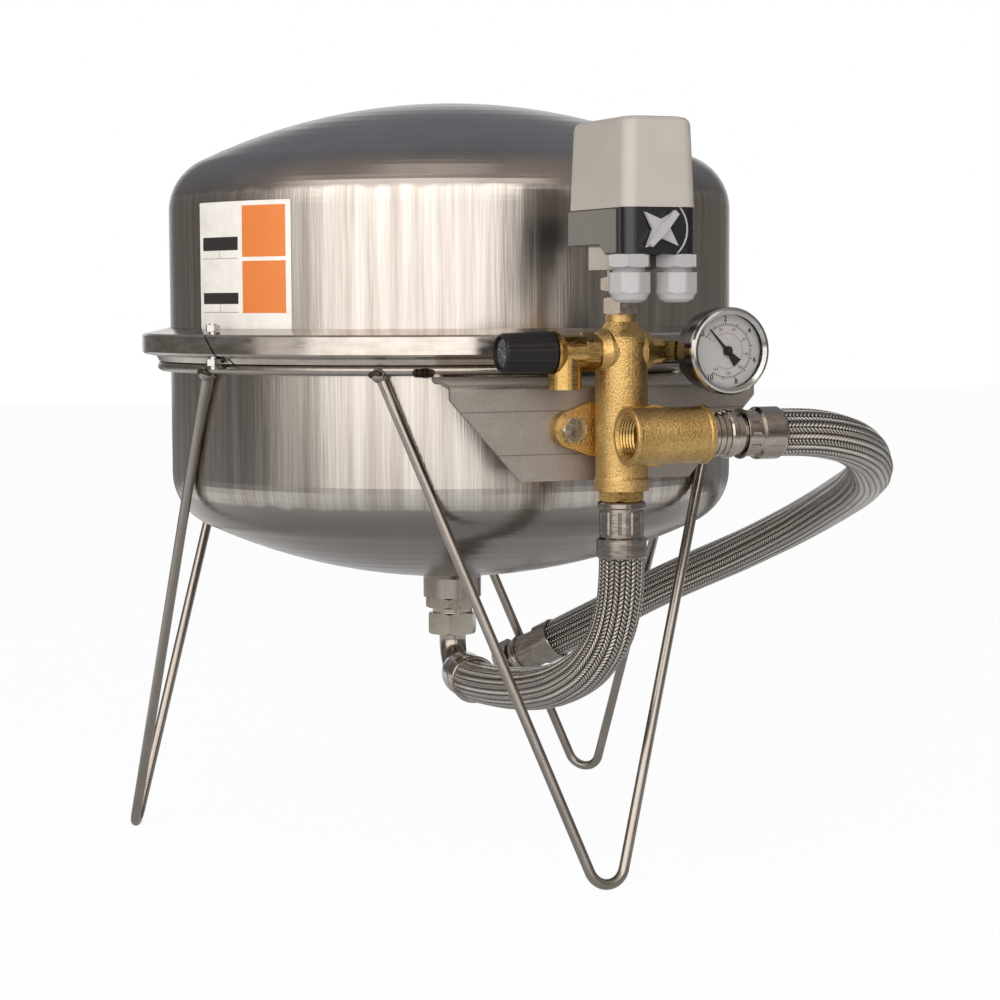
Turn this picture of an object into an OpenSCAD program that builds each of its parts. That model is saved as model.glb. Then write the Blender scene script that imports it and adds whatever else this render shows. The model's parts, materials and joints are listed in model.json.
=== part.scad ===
// Well pressure tank: two pressed steel halves clamped over a rubber diaphragm, carried by a
// welded rod stand, with a cast manifold, a relief valve, a gauge, a pressure switch and two hoses.
// Origin on the floor under the tank's axis, Z up, the manifold in front toward -Y. Millimetres.

/* [Tank] */
// Outside diameter of the tank
tank_d = 460; // [400:1:520]
// Height of the tank over both heads
tank_h = 387; // [340:1:440]
// Height of the clamp joint above the floor
mid_z = 405.5; // [380:0.5:460]
// Outside radius of the shallow crown of each head
crown_r = 470; // [420:1:560]
// Outside radius of the knuckle between head and skirt
knuckle_r = 45; // [30:1:60]
// Thickness of the shell
shell_t = 2; // [1:0.1:3]
// Width of the flange round each half
flange_w = 10.5; // [8:0.5:11]
// Thickness of the flange
flange_t = 2.4; // [1.5:0.1:3]
// Height of the diaphragm's bead between the flanges
bead_h = 10; // [6:0.5:12]
// Wall of the diaphragm
diaphragm_t = 3; // [2:0.5:5]
// Depth of the diaphragm's bowl below the joint
diaphragm_drop = 150; // [110:1:160]

/* [Clamp ring] */
// Width of the clamp ring beyond the shell
clamp_w = 23; // [21:0.5:28]
// Height of the clamp ring's outer band
clamp_h = 16; // [14:0.5:20]
// Sheet of the clamp ring
clamp_t = 2.5; // [1.5:0.1:3]
// Slope of the clamp ring's upper wall
clamp_slope = 12; // [8:0.5:16]
// Depth of the lower lip below the joint
lip_drop = 14.2; // [13.5:0.1:18]
// Direction of the slit in the clamp ring
slit_az = 201.8; // [190:0.1:215]
// Width of the slit
slit_w = 1.6; // [1:0.1:3]
// Lean of the slit
slit_lean = 40; // [20:1:50]
// Diameter of the clamp bolt
clamp_bolt_d = 6; // [5:1:6]

/* [Stand] */
// Diameter of the stand's rod
rod_d = 8; // [6:0.5:10]
// Gap between the shell and the ring rod
ring_gap = 2.6; // [1.5:0.1:6]
// Distance of the feet beyond the ring rod
foot_out = 30.4; // [15:0.1:60]
// Direction of the left leg
left_leg_az = 157; // [150:0.5:165]
// Direction of the front leg
front_leg_az = 273.5; // [268:0.5:280]
// Direction of the rear leg
rear_leg_az = 40.5; // [34:0.5:46]
// Half the angle that a leg spans at the ring
leg_spread = 38.6; // [34:0.1:42]
// Centreline radius of the bend at a foot
foot_bend_r = 15.4; // [12:0.1:25]
// Diameter of the weld at the top of a rod
weld_d = 13; // [11:0.5:15]

/* [Bracket] */
// Distance of the bracket's face in front of the ring rod
bracket_reach = 61.4; // [50:0.1:80]
// Thickness of the bracket's sheet
bracket_t = 3; // [2:0.1:5]
// Width of the bracket's face
bracket_w = 242; // [220:1:270]
// Height of the bracket's face
bracket_h = 70; // [64:1:90]
// Width along the bottom edge
bracket_foot_w = 134; // [110:1:160]
// Straight part of each side edge
bracket_side_h = 11; // [6:0.5:20]
// Fall of the top flange from the ring rod to the face
bracket_fall = 3.8; // [2:0.1:8]
// Half width of the top flange at the welds
flange_half_w = 101; // [80:1:110]

/* [Manifold] */
// Distance of the manifold's axis in front of the bracket's face
body_reach = 25; // [22:0.5:32]
// Height of the tee's axis below the bracket's top edge
tee_drop = 36; // [30:0.5:44]
// Diameter of the manifold's body
body_d = 37.5; // [34:0.5:42]
// Height of the side ports above the tee
side_port_h = 58.4; // [54:0.1:66]
// Height of the body's shoulder above the tee
shoulder_h = 69; // [66:0.5:80]
// Height of the neck's end above the tee
neck_h = 84.5; // [80:0.5:96]
// Diameter of the neck
neck_d = 22.7; // [20:0.1:26]
// Depth of the body's lower end below the tee
body_drop = 40.3; // [36:0.1:50]
// Bore through the body
body_bore = 24; // [18:0.5:26]
// Outside diameter of the tee
tee_d = 40; // [38:0.5:44]
// Bore of the open port, the minor diameter of a one inch pipe thread
port_bore = 30.3; // [28:0.1:31]
// Depth of the tee's threads
port_depth = 14; // [10:0.5:16]
// Distance of the tee's axis in front of the body's axis
tee_reach = 35; // [32:0.5:42]
// Length of the tee to the left of the body's axis
tee_left = 13.5; // [10:0.5:20]
// Length of the tee to the right
tee_right = 48.5; // [42:0.5:56]
// Radius of the round boss that joins the tee to the body
boss_r = 21.5; // [19:0.5:22]
// Distance of the lug bolts from the body's axis
lug_x = 31; // [30:0.5:36]
// Radius of the lug's end
lug_r = 13.5; // [12:0.5:16]
// Thickness of the lugs
lug_t = 9; // [6:0.5:12]
// Diameter of the lug bolts
lug_bolt_d = 10; // [8:1:10]

/* [Relief valve] */
// Diameter of the valve's body
relief_d = 25; // [22:0.5:28]
// Distance of the valve's flange from the manifold's axis
relief_reach = 54.5; // [50:0.5:60]
// Diameter of the flange
relief_flange_d = 31.5; // [30:0.5:36]
// Diameter of the outlet
outlet_d = 23.5; // [22:0.5:25]
// Bore of the outlet, the minor diameter of a half inch pipe thread
outlet_bore = 18.6; // [16:0.1:19]
// Depth of the outlet's end below the valve's axis
outlet_drop = 26.3; // [22:0.1:32]
// Distance of the outlet's axis behind the flange
outlet_in = 10.3; // [10:0.1:14]
// Depth of the outlet's thread
outlet_depth = 11; // [9:0.5:12]
// Length of the cap
relief_cap_l = 39; // [32:0.5:44]
// Diameter of the cap at the flange
relief_cap_d = 30; // [28:0.5:31]
// Diameter of the spindle that the cap turns on
relief_spindle_d = 12; // [8:0.5:14]

/* [Gauge] */
// Outside diameter of the bezel
gauge_d = 62; // [58:1:70]
// Distance of the gauge's axis from the manifold's axis
gauge_reach = 68; // [64:0.5:78]
// Depth of the case with its bezel
gauge_depth = 31; // [26:0.5:36]
// Distance of the bezel's front ahead of the case's middle
gauge_front = 19; // [18:0.5:22]
// Diameter of the pointer's spindle
spindle_d = 3; // [2:0.1:4]
// Angle of the pointer at rest, to the left of upright
pointer_rest = 42; // [30:1:60]

/* [Switch] */
// Width of the switch
switch_w = 56; // [50:1:64]
// Depth of the switch
switch_l = 96; // [90:1:104]
// Distance of the switch's front face in front of the manifold's axis
switch_reach = 64; // [60:1:70]
// Height of the base above the neck
base_z = 41.5; // [38:0.5:48]
// Height of the base
base_h = 32; // [28:0.5:38]
// Height of the cover
cover_h = 62; // [54:0.5:74]
// Wall of the cover
cover_t = 2; // [1.5:0.1:3]
// Draft of the cover's walls in degrees
cover_draft = 2; // [0.5:0.5:3]
// Height of the step under the rear of the base
base_step = 6.5; // [4:0.5:10]
// Depth of the base's lower part, behind the front face
base_low_l = 33; // [28:1:40]
// Width of the pressure chamber's block
block_w = 34; // [28:1:40]
// Distance of the knob's axis right of the middle
knob_x = -2; // [-4:0.5:4]
// Height of the knob's axis above the base's bottom
knob_h = 17; // [14:0.5:20]
// Diameter of the knob's shaft
knob_shaft_d = 8; // [6:0.5:10]
// Spacing of the two cable glands
gland_pitch = 36; // [34:0.5:40]
// Diameter of a gland's nut
gland_d = 28; // [24:0.5:30]

/* [Lower connection] */
// Diameter of the socket under the tank
socket_d = 48; // [42:0.5:56]
// Length of the socket below the tank
socket_l = 19; // [15:0.5:26]
// Bore of the socket
socket_bore = 32; // [28:0.5:36]
// Diameter of the elbow's tube
elbow_d = 22; // [18:0.5:24]
// Centreline radius of the elbow
elbow_bend_r = 24; // [22:0.5:32]
// Height of the elbow's outlet below the tank
outlet_fall = 78; // [72:0.5:90]
// Direction of the elbow's outlet
elbow_az = 260; // [255:1:280]
// Distance of the hose's collar from the tank's axis
collar_reach = 40; // [36:0.5:50]

/* [Hoses] */
// Outside diameter of the feed hose
hose_d = 33; // [30:0.5:34]
// Outside diameter of the supply hose
supply_d = 34.5; // [32:0.5:35]
// Depth of a hose in its collar
hose_in = 12; // [8:0.5:14]
// Length of a crimped ferrule
ferrule_l = 20; // [16:0.5:26]
// Diameter of a crimped ferrule
ferrule_d = 31.7; // [30:0.1:34]
// Diameter of a ferrule's collar
collar_d = 36; // [35:0.5:40]
// Length of a ferrule's collar
collar_l = 15; // [10:0.5:20]

/* [Label] */
// Direction of the label's left edge
label_az = 191; // [180:1:210]
// Angle that the label covers
label_span = 26; // [16:1:34]
// Height of the label
label_h = 97; // [60:1:110]
// Distance of the label above the clamp joint
label_rise = 12; // [8:1:30]
// Thickness of the label
label_t = 0.4; // [0.2:0.1:0.6]

/* [Gas valve] */
// Distance of the gas valve from the tank's axis
gas_valve_r = 130; // [90:1:150]
// Direction of the gas valve
gas_valve_az = 68; // [40:1:110]
// Diameter of the gas valve's cap
gas_cap_d = 12; // [10:0.5:16]

/* [Hidden] */
$fn = 64;
// Gap left between parts that fit closely
fit = 0.1;
// A bent rod swells by this much
bend_swell = 0.05;
// Radial gap of a turning fit
running = 0.08;
rod_r = rod_d / 2;
shell_r = tank_d / 2;
flange_r = shell_r + flange_w;
// Centre of the crown lies this far below the head's tangent line
crown_drop = sqrt(pow(crown_r - knuckle_r, 2) - pow(shell_r - knuckle_r, 2));
head_h = crown_r - crown_drop;
skirt_h = tank_h / 2 - head_h;
tank_bottom = mid_z - tank_h / 2;
// Stand
ring_r = shell_r + ring_gap + rod_r;
rod_z = mid_z - lip_drop - rod_r - fit;
foot_r = ring_r + foot_out;
leg_mid_r = ring_r * cos(leg_spread);
leg_half_w = ring_r * sin(leg_spread);
leg_tilt = atan2(foot_r - leg_mid_r, rod_z - rod_r);
leg_l = norm([foot_r - leg_mid_r, rod_z - rod_r]);
bend_s = leg_l - foot_bend_r;
leg_a = atan2(leg_half_w, bend_s) - asin(foot_bend_r / norm([leg_half_w, bend_s]));
// Clamp ring
clamp_r = shell_r + clamp_w;
band_bevel = 1.5;
wall_rise = (clamp_w - band_bevel - 2) * tan(clamp_slope);
inner_r = shell_r + 2;
clamp_bolt_r = ring_r + rod_r + 0.6 + 5;
// Bracket and manifold
plate_y = -(ring_r + bracket_reach);
plate_top = rod_z - rod_r - fit - bracket_fall;
plate_bottom = plate_top - bracket_h;
weld_y = -sqrt(pow(ring_r, 2) - pow(flange_half_w, 2));
body_y = plate_y - body_reach;
tee_y = body_y - tee_reach;
tee_z = plate_top - tee_drop;
boss_x = boss_r + 0.5 - tee_left;
port_z = tee_z + side_port_h;
neck_z = tee_z + neck_h;
body_bottom = tee_z - body_drop;
lug_z = tee_z + 3;
outlet_x = outlet_in - relief_reach;
outlet_z = port_z - outlet_drop;
// Gauge
gauge_y = body_y - 19;
gauge_r = gauge_d / 2;
// Switch
switch_y = body_y - switch_reach;
switch_z = neck_z + base_z;
cover_z = switch_z + base_h;
knob_z = switch_z + knob_h;
low_y = switch_y + base_low_l;
gland_y = switch_y + 14;
// Lower connection
socket_z = tank_bottom - socket_l;
elbow_z = tank_bottom - outlet_fall;
// Free end of the supply hose
end_crimp_l = 21;
end_collar_l = 18;
end_ferrule_l = 1 + end_crimp_l + end_collar_l;
// Hose 1 runs from under the manifold to the elbow, and its points are chosen by hand
FEED_ROUTE = [
    [0, -323, 267], [0, -323, 248], [-0.5, -320.5, 224], [-2, -311, 200], [-5, -290, 177.5],
    [-8.5, -253, 158], [-12, -208, 145.5], [-15, -163, 139], [-16, -120, 135.5], [-14.6, -83, 134],
    [-8.8, -50.2, 134],
];
// Hose 2 runs from the tee round the right of the tank and back between the rear leg's rods
SUPPLY_ROUTE = [
    [94, -358, 343.3], [112, -358, 343.3], [131, -357, 342.6], [164, -348, 337.3], [193, -330, 328],
    [215, -306, 316.7], [233, -278, 306.4], [247, -247, 297.7], [259, -215, 289.3], [267, -183, 280.3],
    [273, -150, 270.2], [275, -117, 258.7], [272, -85, 246], [266, -53, 233], [257, -22, 219.9],
    [244, 8, 206.6], [229, 36, 193], [213, 63, 178.2], [196, 89, 162.4], [178, 115, 146.7],
    [160, 140.3, 131.3], [153.8, 149, 126],
];

function arc(cx, cy, r, a0, a1, n) =
    [for (i = [0:n]) let (a = a0 + (a1 - a0) * i / n) [cx + r * cos(a), cy + r * sin(a)]];

// Outline of one half's shell from the tangent line over the head and back, offset inward by t
function head_outline(r, crown, knuckle, tangent, t) =
    let (drop = sqrt(pow(crown - knuckle, 2) - pow(r - knuckle, 2)),
         a = atan2(drop, r - knuckle))
    concat(arc(r - knuckle, tangent, knuckle, 0, a, 12), arc(0, tangent - drop, crown, a, 90, 12),
           arc(0, tangent - drop, crown - t, 90, a, 12), arc(r - knuckle, tangent, knuckle - t, a, 0, 12));

function unit(v) = v / norm(v);

module turned(points) {
    rotate_extrude() polygon(points);
}

// Hexagonal bar with both ends chamfered as a nut is
module hex_bar(across_flats, height) {
    corner = across_flats / 2 / cos(30);
    bevel = (corner - across_flats / 2) * 0.8;
    intersection() {
        cylinder(r = corner, h = height, $fn = 6);
        turned([[0, 0], [corner - bevel, 0], [corner, bevel * 0.6], [corner, height - bevel * 0.6],
                [corner - bevel, height], [0, height]]);
    }
}

module hex_nut(across_flats, height, bore) {
    difference() {
        hex_bar(across_flats, height);
        translate([0, 0, -1]) cylinder(d = bore, h = height + 2);
    }
}

module half_shell() {
    foot = bead_h / 2;
    root = 3;
    turned(concat(
        [[shell_r - shell_t, foot], [flange_r, foot], [flange_r, foot + flange_t]],
        arc(shell_r + root, foot + flange_t + root, root, 270, 180, 5),
        head_outline(shell_r, crown_r, knuckle_r, skirt_h, shell_t)));
}

// Moves its child onto the upper dome, square to the surface
module on_dome() {
    lean = asin(gas_valve_r / crown_r);
    rotate([0, 0, gas_valve_az]) translate([0, 0, mid_z + skirt_h - crown_drop])
        rotate([0, lean, 0]) translate([0, 0, crown_r]) children();
}

module upper_shell() {
    color("#b9b2aa") difference() {
        translate([0, 0, mid_z]) half_shell();
        on_dome() translate([0, 0, -10]) cylinder(d = 9, h = 20);
    }
}

module lower_shell() {
    color("#b3aca4") difference() {
        translate([0, 0, mid_z]) mirror([0, 0, 1]) half_shell();
        translate([0, 0, tank_bottom - 5]) cylinder(d = socket_bore, h = 20);
    }
}

// Bead between the flanges and a bowl that hangs in the lower half
module diaphragm() {
    r = shell_r - shell_t - 1;
    crown = crown_r - 60;
    knuckle = knuckle_r + 15;
    drop = sqrt(pow(crown - knuckle, 2) - pow(r - knuckle, 2));
    tangent = diaphragm_drop - (crown - drop);
    half_bead = bead_h / 2 - fit;
    color("#2b2b2b") translate([0, 0, mid_z]) mirror([0, 0, 1]) turned(concat(
        [[r - diaphragm_t, -half_bead], [flange_r - 0.5, -half_bead], [flange_r - 0.5, half_bead],
         [r, half_bead]],
        head_outline(r, crown, knuckle, tangent, diaphragm_t)));
}

// Rolled V section that grips both flanges, split once, with a rolled lip that stands on the ring rod
module clamp_ring() {
    half = clamp_h / 2;
    top = half + wall_rise;
    inner_band = clamp_r - clamp_t;
    inner_half = half - clamp_t * 0.95;
    lip_r = ring_r + rod_r * 0.75;
    lip_top = lip_drop - clamp_t;
    slope = tan(clamp_slope);
    outline = [
        [clamp_r, -half + band_bevel], [clamp_r, half - band_bevel], [clamp_r - band_bevel, half],
        [inner_r, top], [inner_r, top - clamp_t],
        [inner_band, inner_half], [inner_band, -inner_half],
        [flange_r - 0.5, -inner_half - (inner_band - flange_r + 0.5) * slope],
        [lip_r - 2.1, -lip_top], [inner_r, -lip_top], [inner_r, -lip_drop], [lip_r, -lip_drop],
        [lip_r + 2, -half - (clamp_w - band_bevel - 11) * slope],
        [clamp_r - band_bevel, -half],
    ];
    color("#c4beb6") difference() {
        translate([0, 0, mid_z]) turned(outline);
        rotate([0, 0, slit_az]) translate([clamp_r - clamp_w / 2, 0, mid_z]) rotate([slit_lean, 0, 0])
            cube([clamp_w + 10, slit_w, 80], center = true);
        on_clamp_bolt() translate([0, 0, -30]) cylinder(d = clamp_bolt_d + 0.6, h = 60);
    }
}

module on_clamp_bolt() {
    rotate([0, 0, slit_az]) translate([clamp_bolt_r, -4, mid_z]) children();
}

module clamp_bolt() {
    seat = clamp_h / 2 + (clamp_r - band_bevel - clamp_bolt_r + 6.5) * tan(clamp_slope);
    color("#8f8a84") on_clamp_bolt() {
        translate([0, 0, -seat - 8]) cylinder(d = clamp_bolt_d, h = 2 * seat + 14);
        translate([0, 0, seat]) hex_nut(10, 5, clamp_bolt_d - fit);
        translate([0, 0, -seat - 5]) hex_nut(10, 5, clamp_bolt_d - fit);
    }
}

module bottom_socket() {
    color("#8c857d") difference() {
        union() {
            translate([0, 0, socket_z]) cylinder(d = socket_d, h = socket_l + 4);
            translate([0, 0, tank_bottom - 3]) cylinder(d1 = socket_d, d2 = socket_d + 10, h = 7);
        }
        translate([0, 0, mid_z + crown_drop - skirt_h]) rotate([180, 0, 0]) dome_solid();
        translate([0, 0, socket_z - 1]) cylinder(d = socket_bore, h = socket_l + 10);
    }
}

// Solid ball cap of the crown, about the crown's centre
module dome_solid() {
    cap_r = crown_r + fit;
    intersection() {
        turned(concat([[0, crown_r - 30]], arc(0, 0, cap_r, 80, 90, 8)));
        translate([0, 0, crown_r - 30]) cylinder(r = 80, h = 40);
    }
}

module reducing_bush() {
    color("#b8a888") difference() {
        union() {
            translate([0, 0, socket_z - 9]) hex_bar(41, 9);
            translate([0, 0, socket_z - fit]) cylinder(d = socket_bore - 0.6, h = 12);
            translate([0, 0, socket_z - 13]) cylinder(d = 33, h = 4.5);
        }
        translate([0, 0, socket_z - 20]) cylinder(d = 20, h = 40);
    }
}

module union_nut() {
    color("#9a948c") difference() {
        translate([0, 0, socket_z - 9 - 4 - 18]) hex_nut(37, 18, elbow_d + 0.6);
        translate([0, 0, socket_z - 9 - 4 - 12]) cylinder(d = 29, h = 20);
    }
}

module elbow() {
    top_z = socket_z - 9 - 4 - fit;
    start_z = elbow_z + elbow_bend_r;
    color("#9b948c") difference() {
        rotate([0, 0, elbow_az]) union() {
            translate([0, 0, start_z]) cylinder(d = elbow_d, h = top_z - start_z);
            translate([0, 0, top_z - 6]) cylinder(d = 28.4, h = 6);
            translate([elbow_bend_r, 0, start_z]) rotate([90, 0, 0]) rotate([0, 0, 180])
                rotate_extrude(angle = 90) translate([elbow_bend_r, 0]) circle(d = elbow_d);
            translate([elbow_bend_r, 0, elbow_z]) rotate([0, 90, 0])
                cylinder(d = elbow_d, h = collar_reach - elbow_bend_r);
        }
        translate([0, 0, top_z - 12]) cylinder(d = elbow_d - 5, h = 20);
    }
}

module gas_valve() {
    color("#b08d4a") difference() {
        on_dome() turned([[3, -8], [4.4, -8], [4.4, 0.4], [9, 0.4], [8, 4], [4, 6], [4, 16], [3, 16]]);
        on_dome() translate([0, 0, -9]) cylinder(d = 3, h = 30);
    }
}

module gas_valve_cap() {
    r = gas_cap_d / 2;
    color("#1f1f1f") on_dome() turned([[4 + fit, 6.5], [r, 6.5], [r, 17], [r - 1.5, 18.5], [0, 18.5],
                                       [0, 16.5], [4 + fit, 16.5]]);
}

module ring_rod(extra) {
    translate([0, 0, rod_z]) rotate_extrude() translate([ring_r, 0]) circle(r = rod_r + extra);
}

module stand_ring() {
    color("#857e76") ring_rod(0);
}

// One hairpin: two rods that meet the ring rod in welds and run down to a round bend at the foot
module leg(azimuth) {
    rod_l = norm([leg_half_w - foot_bend_r * cos(leg_a), bend_s + foot_bend_r * sin(leg_a)]);
    color("#7d776f") difference() {
        rotate([0, 0, azimuth]) translate([leg_mid_r, 0, rod_z]) rotate([0, -leg_tilt, 0]) {
            for (side = [0, 1]) mirror([0, side, 0]) {
                translate([0, foot_bend_r * cos(leg_a), -bend_s - foot_bend_r * sin(leg_a)])
                    rotate([-leg_a, 0, 0]) translate([0, 0, -0.5]) cylinder(r = rod_r, h = rod_l + 0.5);
                translate([0, leg_half_w - 1, -3]) sphere(d = weld_d, $fn = 32);
            }
            translate([0, 0, -bend_s]) rotate([90, 0, 90]) rotate([0, 0, leg_a - 180])
                rotate_extrude(angle = 180 - 2 * leg_a) translate([foot_bend_r, 0])
                    circle(r = rod_r + bend_swell);
        }
        ring_rod(fit / 2);
        translate([0, 0, rod_z - 20]) cylinder(r = shell_r + 0.3, h = 40);
    }
}

module left_leg() leg(left_leg_az);
module front_leg() leg(front_leg_az);
module rear_leg() leg(rear_leg_az);

// Folded sheet: an upright face that carries the manifold and a top flange welded to the ring rod
module bracket() {
    bend = bracket_t + 2;
    weld_z = rod_z - rod_r - fit;
    half_w = bracket_w / 2;
    t = bracket_t;
    fold = concat(
        [[plate_y, plate_bottom]], arc(plate_y + bend, plate_top - bend, bend, 180, 90, 6),
        [[weld_y + 2, weld_z], [weld_y + 2, weld_z - t]],
        arc(plate_y + bend, plate_top - bend, bend - t, 90, 180, 6), [[plate_y + t, plate_bottom]]);
    color("#8b8680") difference() {
        union() {
            rotate([90, 0, 90]) translate([0, 0, -half_w]) linear_extrude(bracket_w) polygon(fold);
            for (side = [-1, 1]) translate([side * (flange_half_w - 3), weld_y - 2, weld_z - 1])
                sphere(r = 5, $fn = 24);
        }
        for (side = [0, 1]) mirror([side, 0, 0]) {
            translate([0, plate_y + t + 2, 0]) rotate([90, 0, 0]) linear_extrude(t + 4)
                polygon([[half_w, plate_top - bracket_side_h], [half_w + 9, plate_top - bracket_side_h],
                         [half_w + 9, plate_bottom - 9], [bracket_foot_w / 2, plate_bottom - 9],
                         [bracket_foot_w / 2, plate_bottom]]);
            translate([0, 0, weld_z - 30]) linear_extrude(60)
                polygon([[half_w, plate_y + bend], [half_w + 9, plate_y + bend], [half_w + 9, weld_y + 20],
                         [flange_half_w, weld_y + 20], [flange_half_w, weld_y]]);
        }
        translate([0, 0, rod_z - 60]) cylinder(r = shell_r + 0.5, h = 90);
        ring_rod(fit / 2);
        for (side = [-1, 1]) translate([side * lug_x, plate_y + 20, lug_z]) rotate([90, 0, 0])
            cylinder(d = lug_bolt_d + 1, h = 40);
    }
}

// Outline of the body that is turned, from the lower end to the neck
function body_outline() = [
    [0, -body_drop], [body_d / 2 + 0.75, -body_drop], [body_d / 2 + 0.75, -body_drop + 8],
    [body_d / 2, -body_drop + 10], [body_d / 2, shoulder_h - 4],
    [body_d / 2 - 1.5, shoulder_h], [body_d / 2 - 4.2, shoulder_h + 4.5],
    [neck_d / 2 + 1, shoulder_h + 8.5],
    [neck_d / 2, shoulder_h + 10.5], [neck_d / 2, neck_h], [0, neck_h],
];

// Cast body with an upright bore, two side ports, a cross tee in front and two bolting lugs
module manifold() {
    rim = tee_d / 2 + 0.85;
    color("#c49a3c") difference() {
        union() {
            translate([0, body_y, tee_z]) {
                turned(body_outline());
                for (side = [-1, 1]) translate([0, 0, side_port_h]) rotate([0, side * 90, 0])
                    turned([[0, 0], [16.5, 0], [16.5, body_d / 2 - 5], [13.5, body_d / 2 + 1.2],
                            [11.5, body_d / 2 + 2], [0, body_d / 2 + 2]]);
                translate([0, -body_d / 2, -body_drop + 10]) linear_extrude(body_drop + shoulder_h - 14)
                    polygon([[-1, 1], [-0.5, -0.8], [0.5, -0.8], [1, 1]]);
            }
            translate([boss_x, body_y, tee_z]) rotate([90, 0, 0]) cylinder(r = boss_r, h = tee_reach);
            translate([-tee_left, tee_y, tee_z]) rotate([0, 90, 0]) turned([
                [0, 0], [rim - 1, 0], [rim, 1], [rim, 3], [tee_d / 2, 4],
                [tee_d / 2, tee_left + tee_right - 5], [rim, tee_left + tee_right - 4],
                [rim, tee_left + tee_right - 1], [rim - 1, tee_left + tee_right],
                [0, tee_left + tee_right]]);
            translate([0, plate_y - fit, lug_z]) rotate([90, 0, 0]) linear_extrude(lug_t) lug_outline();
        }
        translate([0, body_y, body_bottom - 1]) cylinder(d = body_bore, h = body_drop + shoulder_h - 6);
        translate([0, body_y, tee_z]) cylinder(d = 15, h = neck_h + 1);
        translate([-tee_left - 1, tee_y, tee_z]) rotate([0, 90, 0]) {
            cylinder(d = port_bore, h = port_depth + 1);
            cylinder(d = port_bore - 4, h = tee_left + tee_right);
            translate([0, 0, tee_left + tee_right + 1 - port_depth])
                cylinder(d = port_bore, h = port_depth + 1);
        }
        translate([-tee_left - fit, tee_y, tee_z]) rotate([0, 90, 0])
            cylinder(d1 = port_bore + 4.3, d2 = port_bore - 1, h = 2.6);
        translate([body_bore * 0.38, body_y, tee_z]) rotate([90, 0, 0]) cylinder(d = 16, h = tee_reach);
        translate([-body_d, body_y, port_z]) rotate([0, 90, 0]) cylinder(d = 13, h = 2 * body_d);
        for (side = [-1, 1]) translate([side * lug_x, plate_y + 1, lug_z]) rotate([90, 0, 0])
            cylinder(d = lug_bolt_d + 1, h = lug_t + 2);
    }
}

module lug_outline() {
    for (side = [-1, 1]) translate([side * lug_x, 0]) circle(r = lug_r);
    w = body_d / 2 - 2.75;
    polygon([[-lug_x - 2, lug_r - 0.2], [-w, lug_r + 6], [w, lug_r + 6], [lug_x + 2, lug_r - 0.2],
             [lug_x + 2, 0.2 - lug_r], [w, -lug_r - 6], [-w, -lug_r - 6], [-lug_x - 2, 0.2 - lug_r]]);
}

module manifold_bolts() {
    head_y = plate_y - lug_t - 2 * fit;
    flats = lug_bolt_d * 1.7;
    color("#b9bcc0") for (side = [-1, 1]) translate([side * lug_x, head_y, lug_z]) rotate([90, 0, 0]) {
        hex_bar(flats, 6.4);
        translate([0, 0, -lug_t - bracket_t - 12]) cylinder(d = lug_bolt_d, h = lug_t + bracket_t + 14);
        translate([0, 0, -lug_t - bracket_t - 8.4]) hex_nut(flats, 8, lug_bolt_d - fit);
    }
}

module bottom_adapter() {
    color("#b98f3a") difference() {
        union() {
            translate([0, body_y, body_bottom - 7.5]) hex_bar(30.5, 7.4);
            translate([0, body_y, body_bottom - 0.2]) cylinder(d = body_bore - 0.6, h = 12);
        }
        translate([0, body_y, body_bottom - 20]) cylinder(d = 17, h = 50);
    }
}

// Places its children on the left side port, with local Z pointing left along the port's axis
module on_left_port() {
    translate([0, body_y, port_z]) rotate([0, -90, 0]) children();
}

module relief_body() {
    hex_x = body_d / 2 + 2 + fit;
    color("#c0963c") difference() {
        union() {
            on_left_port() {
                translate([0, 0, hex_x]) hex_bar(24, 11);
                translate([0, 0, hex_x + 10]) cylinder(d = relief_d, h = relief_reach - hex_x - 10);
                translate([0, 0, relief_reach - 7]) cylinder(d1 = relief_d, d2 = relief_flange_d, h = 5);
                translate([0, 0, relief_reach - 2]) cylinder(d = relief_flange_d, h = 2);
                translate([0, 0, hex_x - 8]) cylinder(d = 12.6, h = 9);
                translate([0, 0, relief_reach - 1])
                    cylinder(d = relief_spindle_d, h = relief_cap_l - 9);
            }
            difference() {
                translate([outlet_x, body_y, outlet_z]) cylinder(d = outlet_d, h = outlet_drop);
                on_left_port() translate([0, 0, relief_reach - fit]) cylinder(d = relief_cap_d + 3, h = 10);
            }
        }
        translate([outlet_x, body_y, outlet_z - 1]) cylinder(d = outlet_bore, h = outlet_depth + 1);
        translate([outlet_x, body_y, outlet_z - fit])
            cylinder(d1 = outlet_bore + 1.6, d2 = outlet_bore - 0.4, h = 1.2);
        on_left_port() translate([0, 0, -1]) cylinder(d = 9, h = relief_reach - 8);
        translate([outlet_x, body_y, outlet_z]) cylinder(d = 9, h = outlet_drop);
    }
}

// Ribbed cap that turns on the valve's spindle to lift the valve for a test
module relief_cap() {
    r = relief_cap_d / 2;
    start = relief_reach + 0.3;
    l = relief_cap_l;
    bore = relief_spindle_d / 2 + running;
    color("#26262a") on_left_port() translate([0, 0, start]) difference() {
        turned([[bore, 0], [r - 0.6, 0], [r, 1], [r - 1.2, l - 2], [r - 2.2, l - 0.4], [r - 2.8, l],
                [r - 3.6, l], [r - 3.8, l - 3.5], [bore, l - 3.5]]);
        for (i = [0:23]) rotate([0, 0, i * 15]) translate([r + 0.1, 0, 3]) rotate([0, -2, 0])
            cylinder(r = 0.7, h = l, $fn = 8);
    }
}

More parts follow.
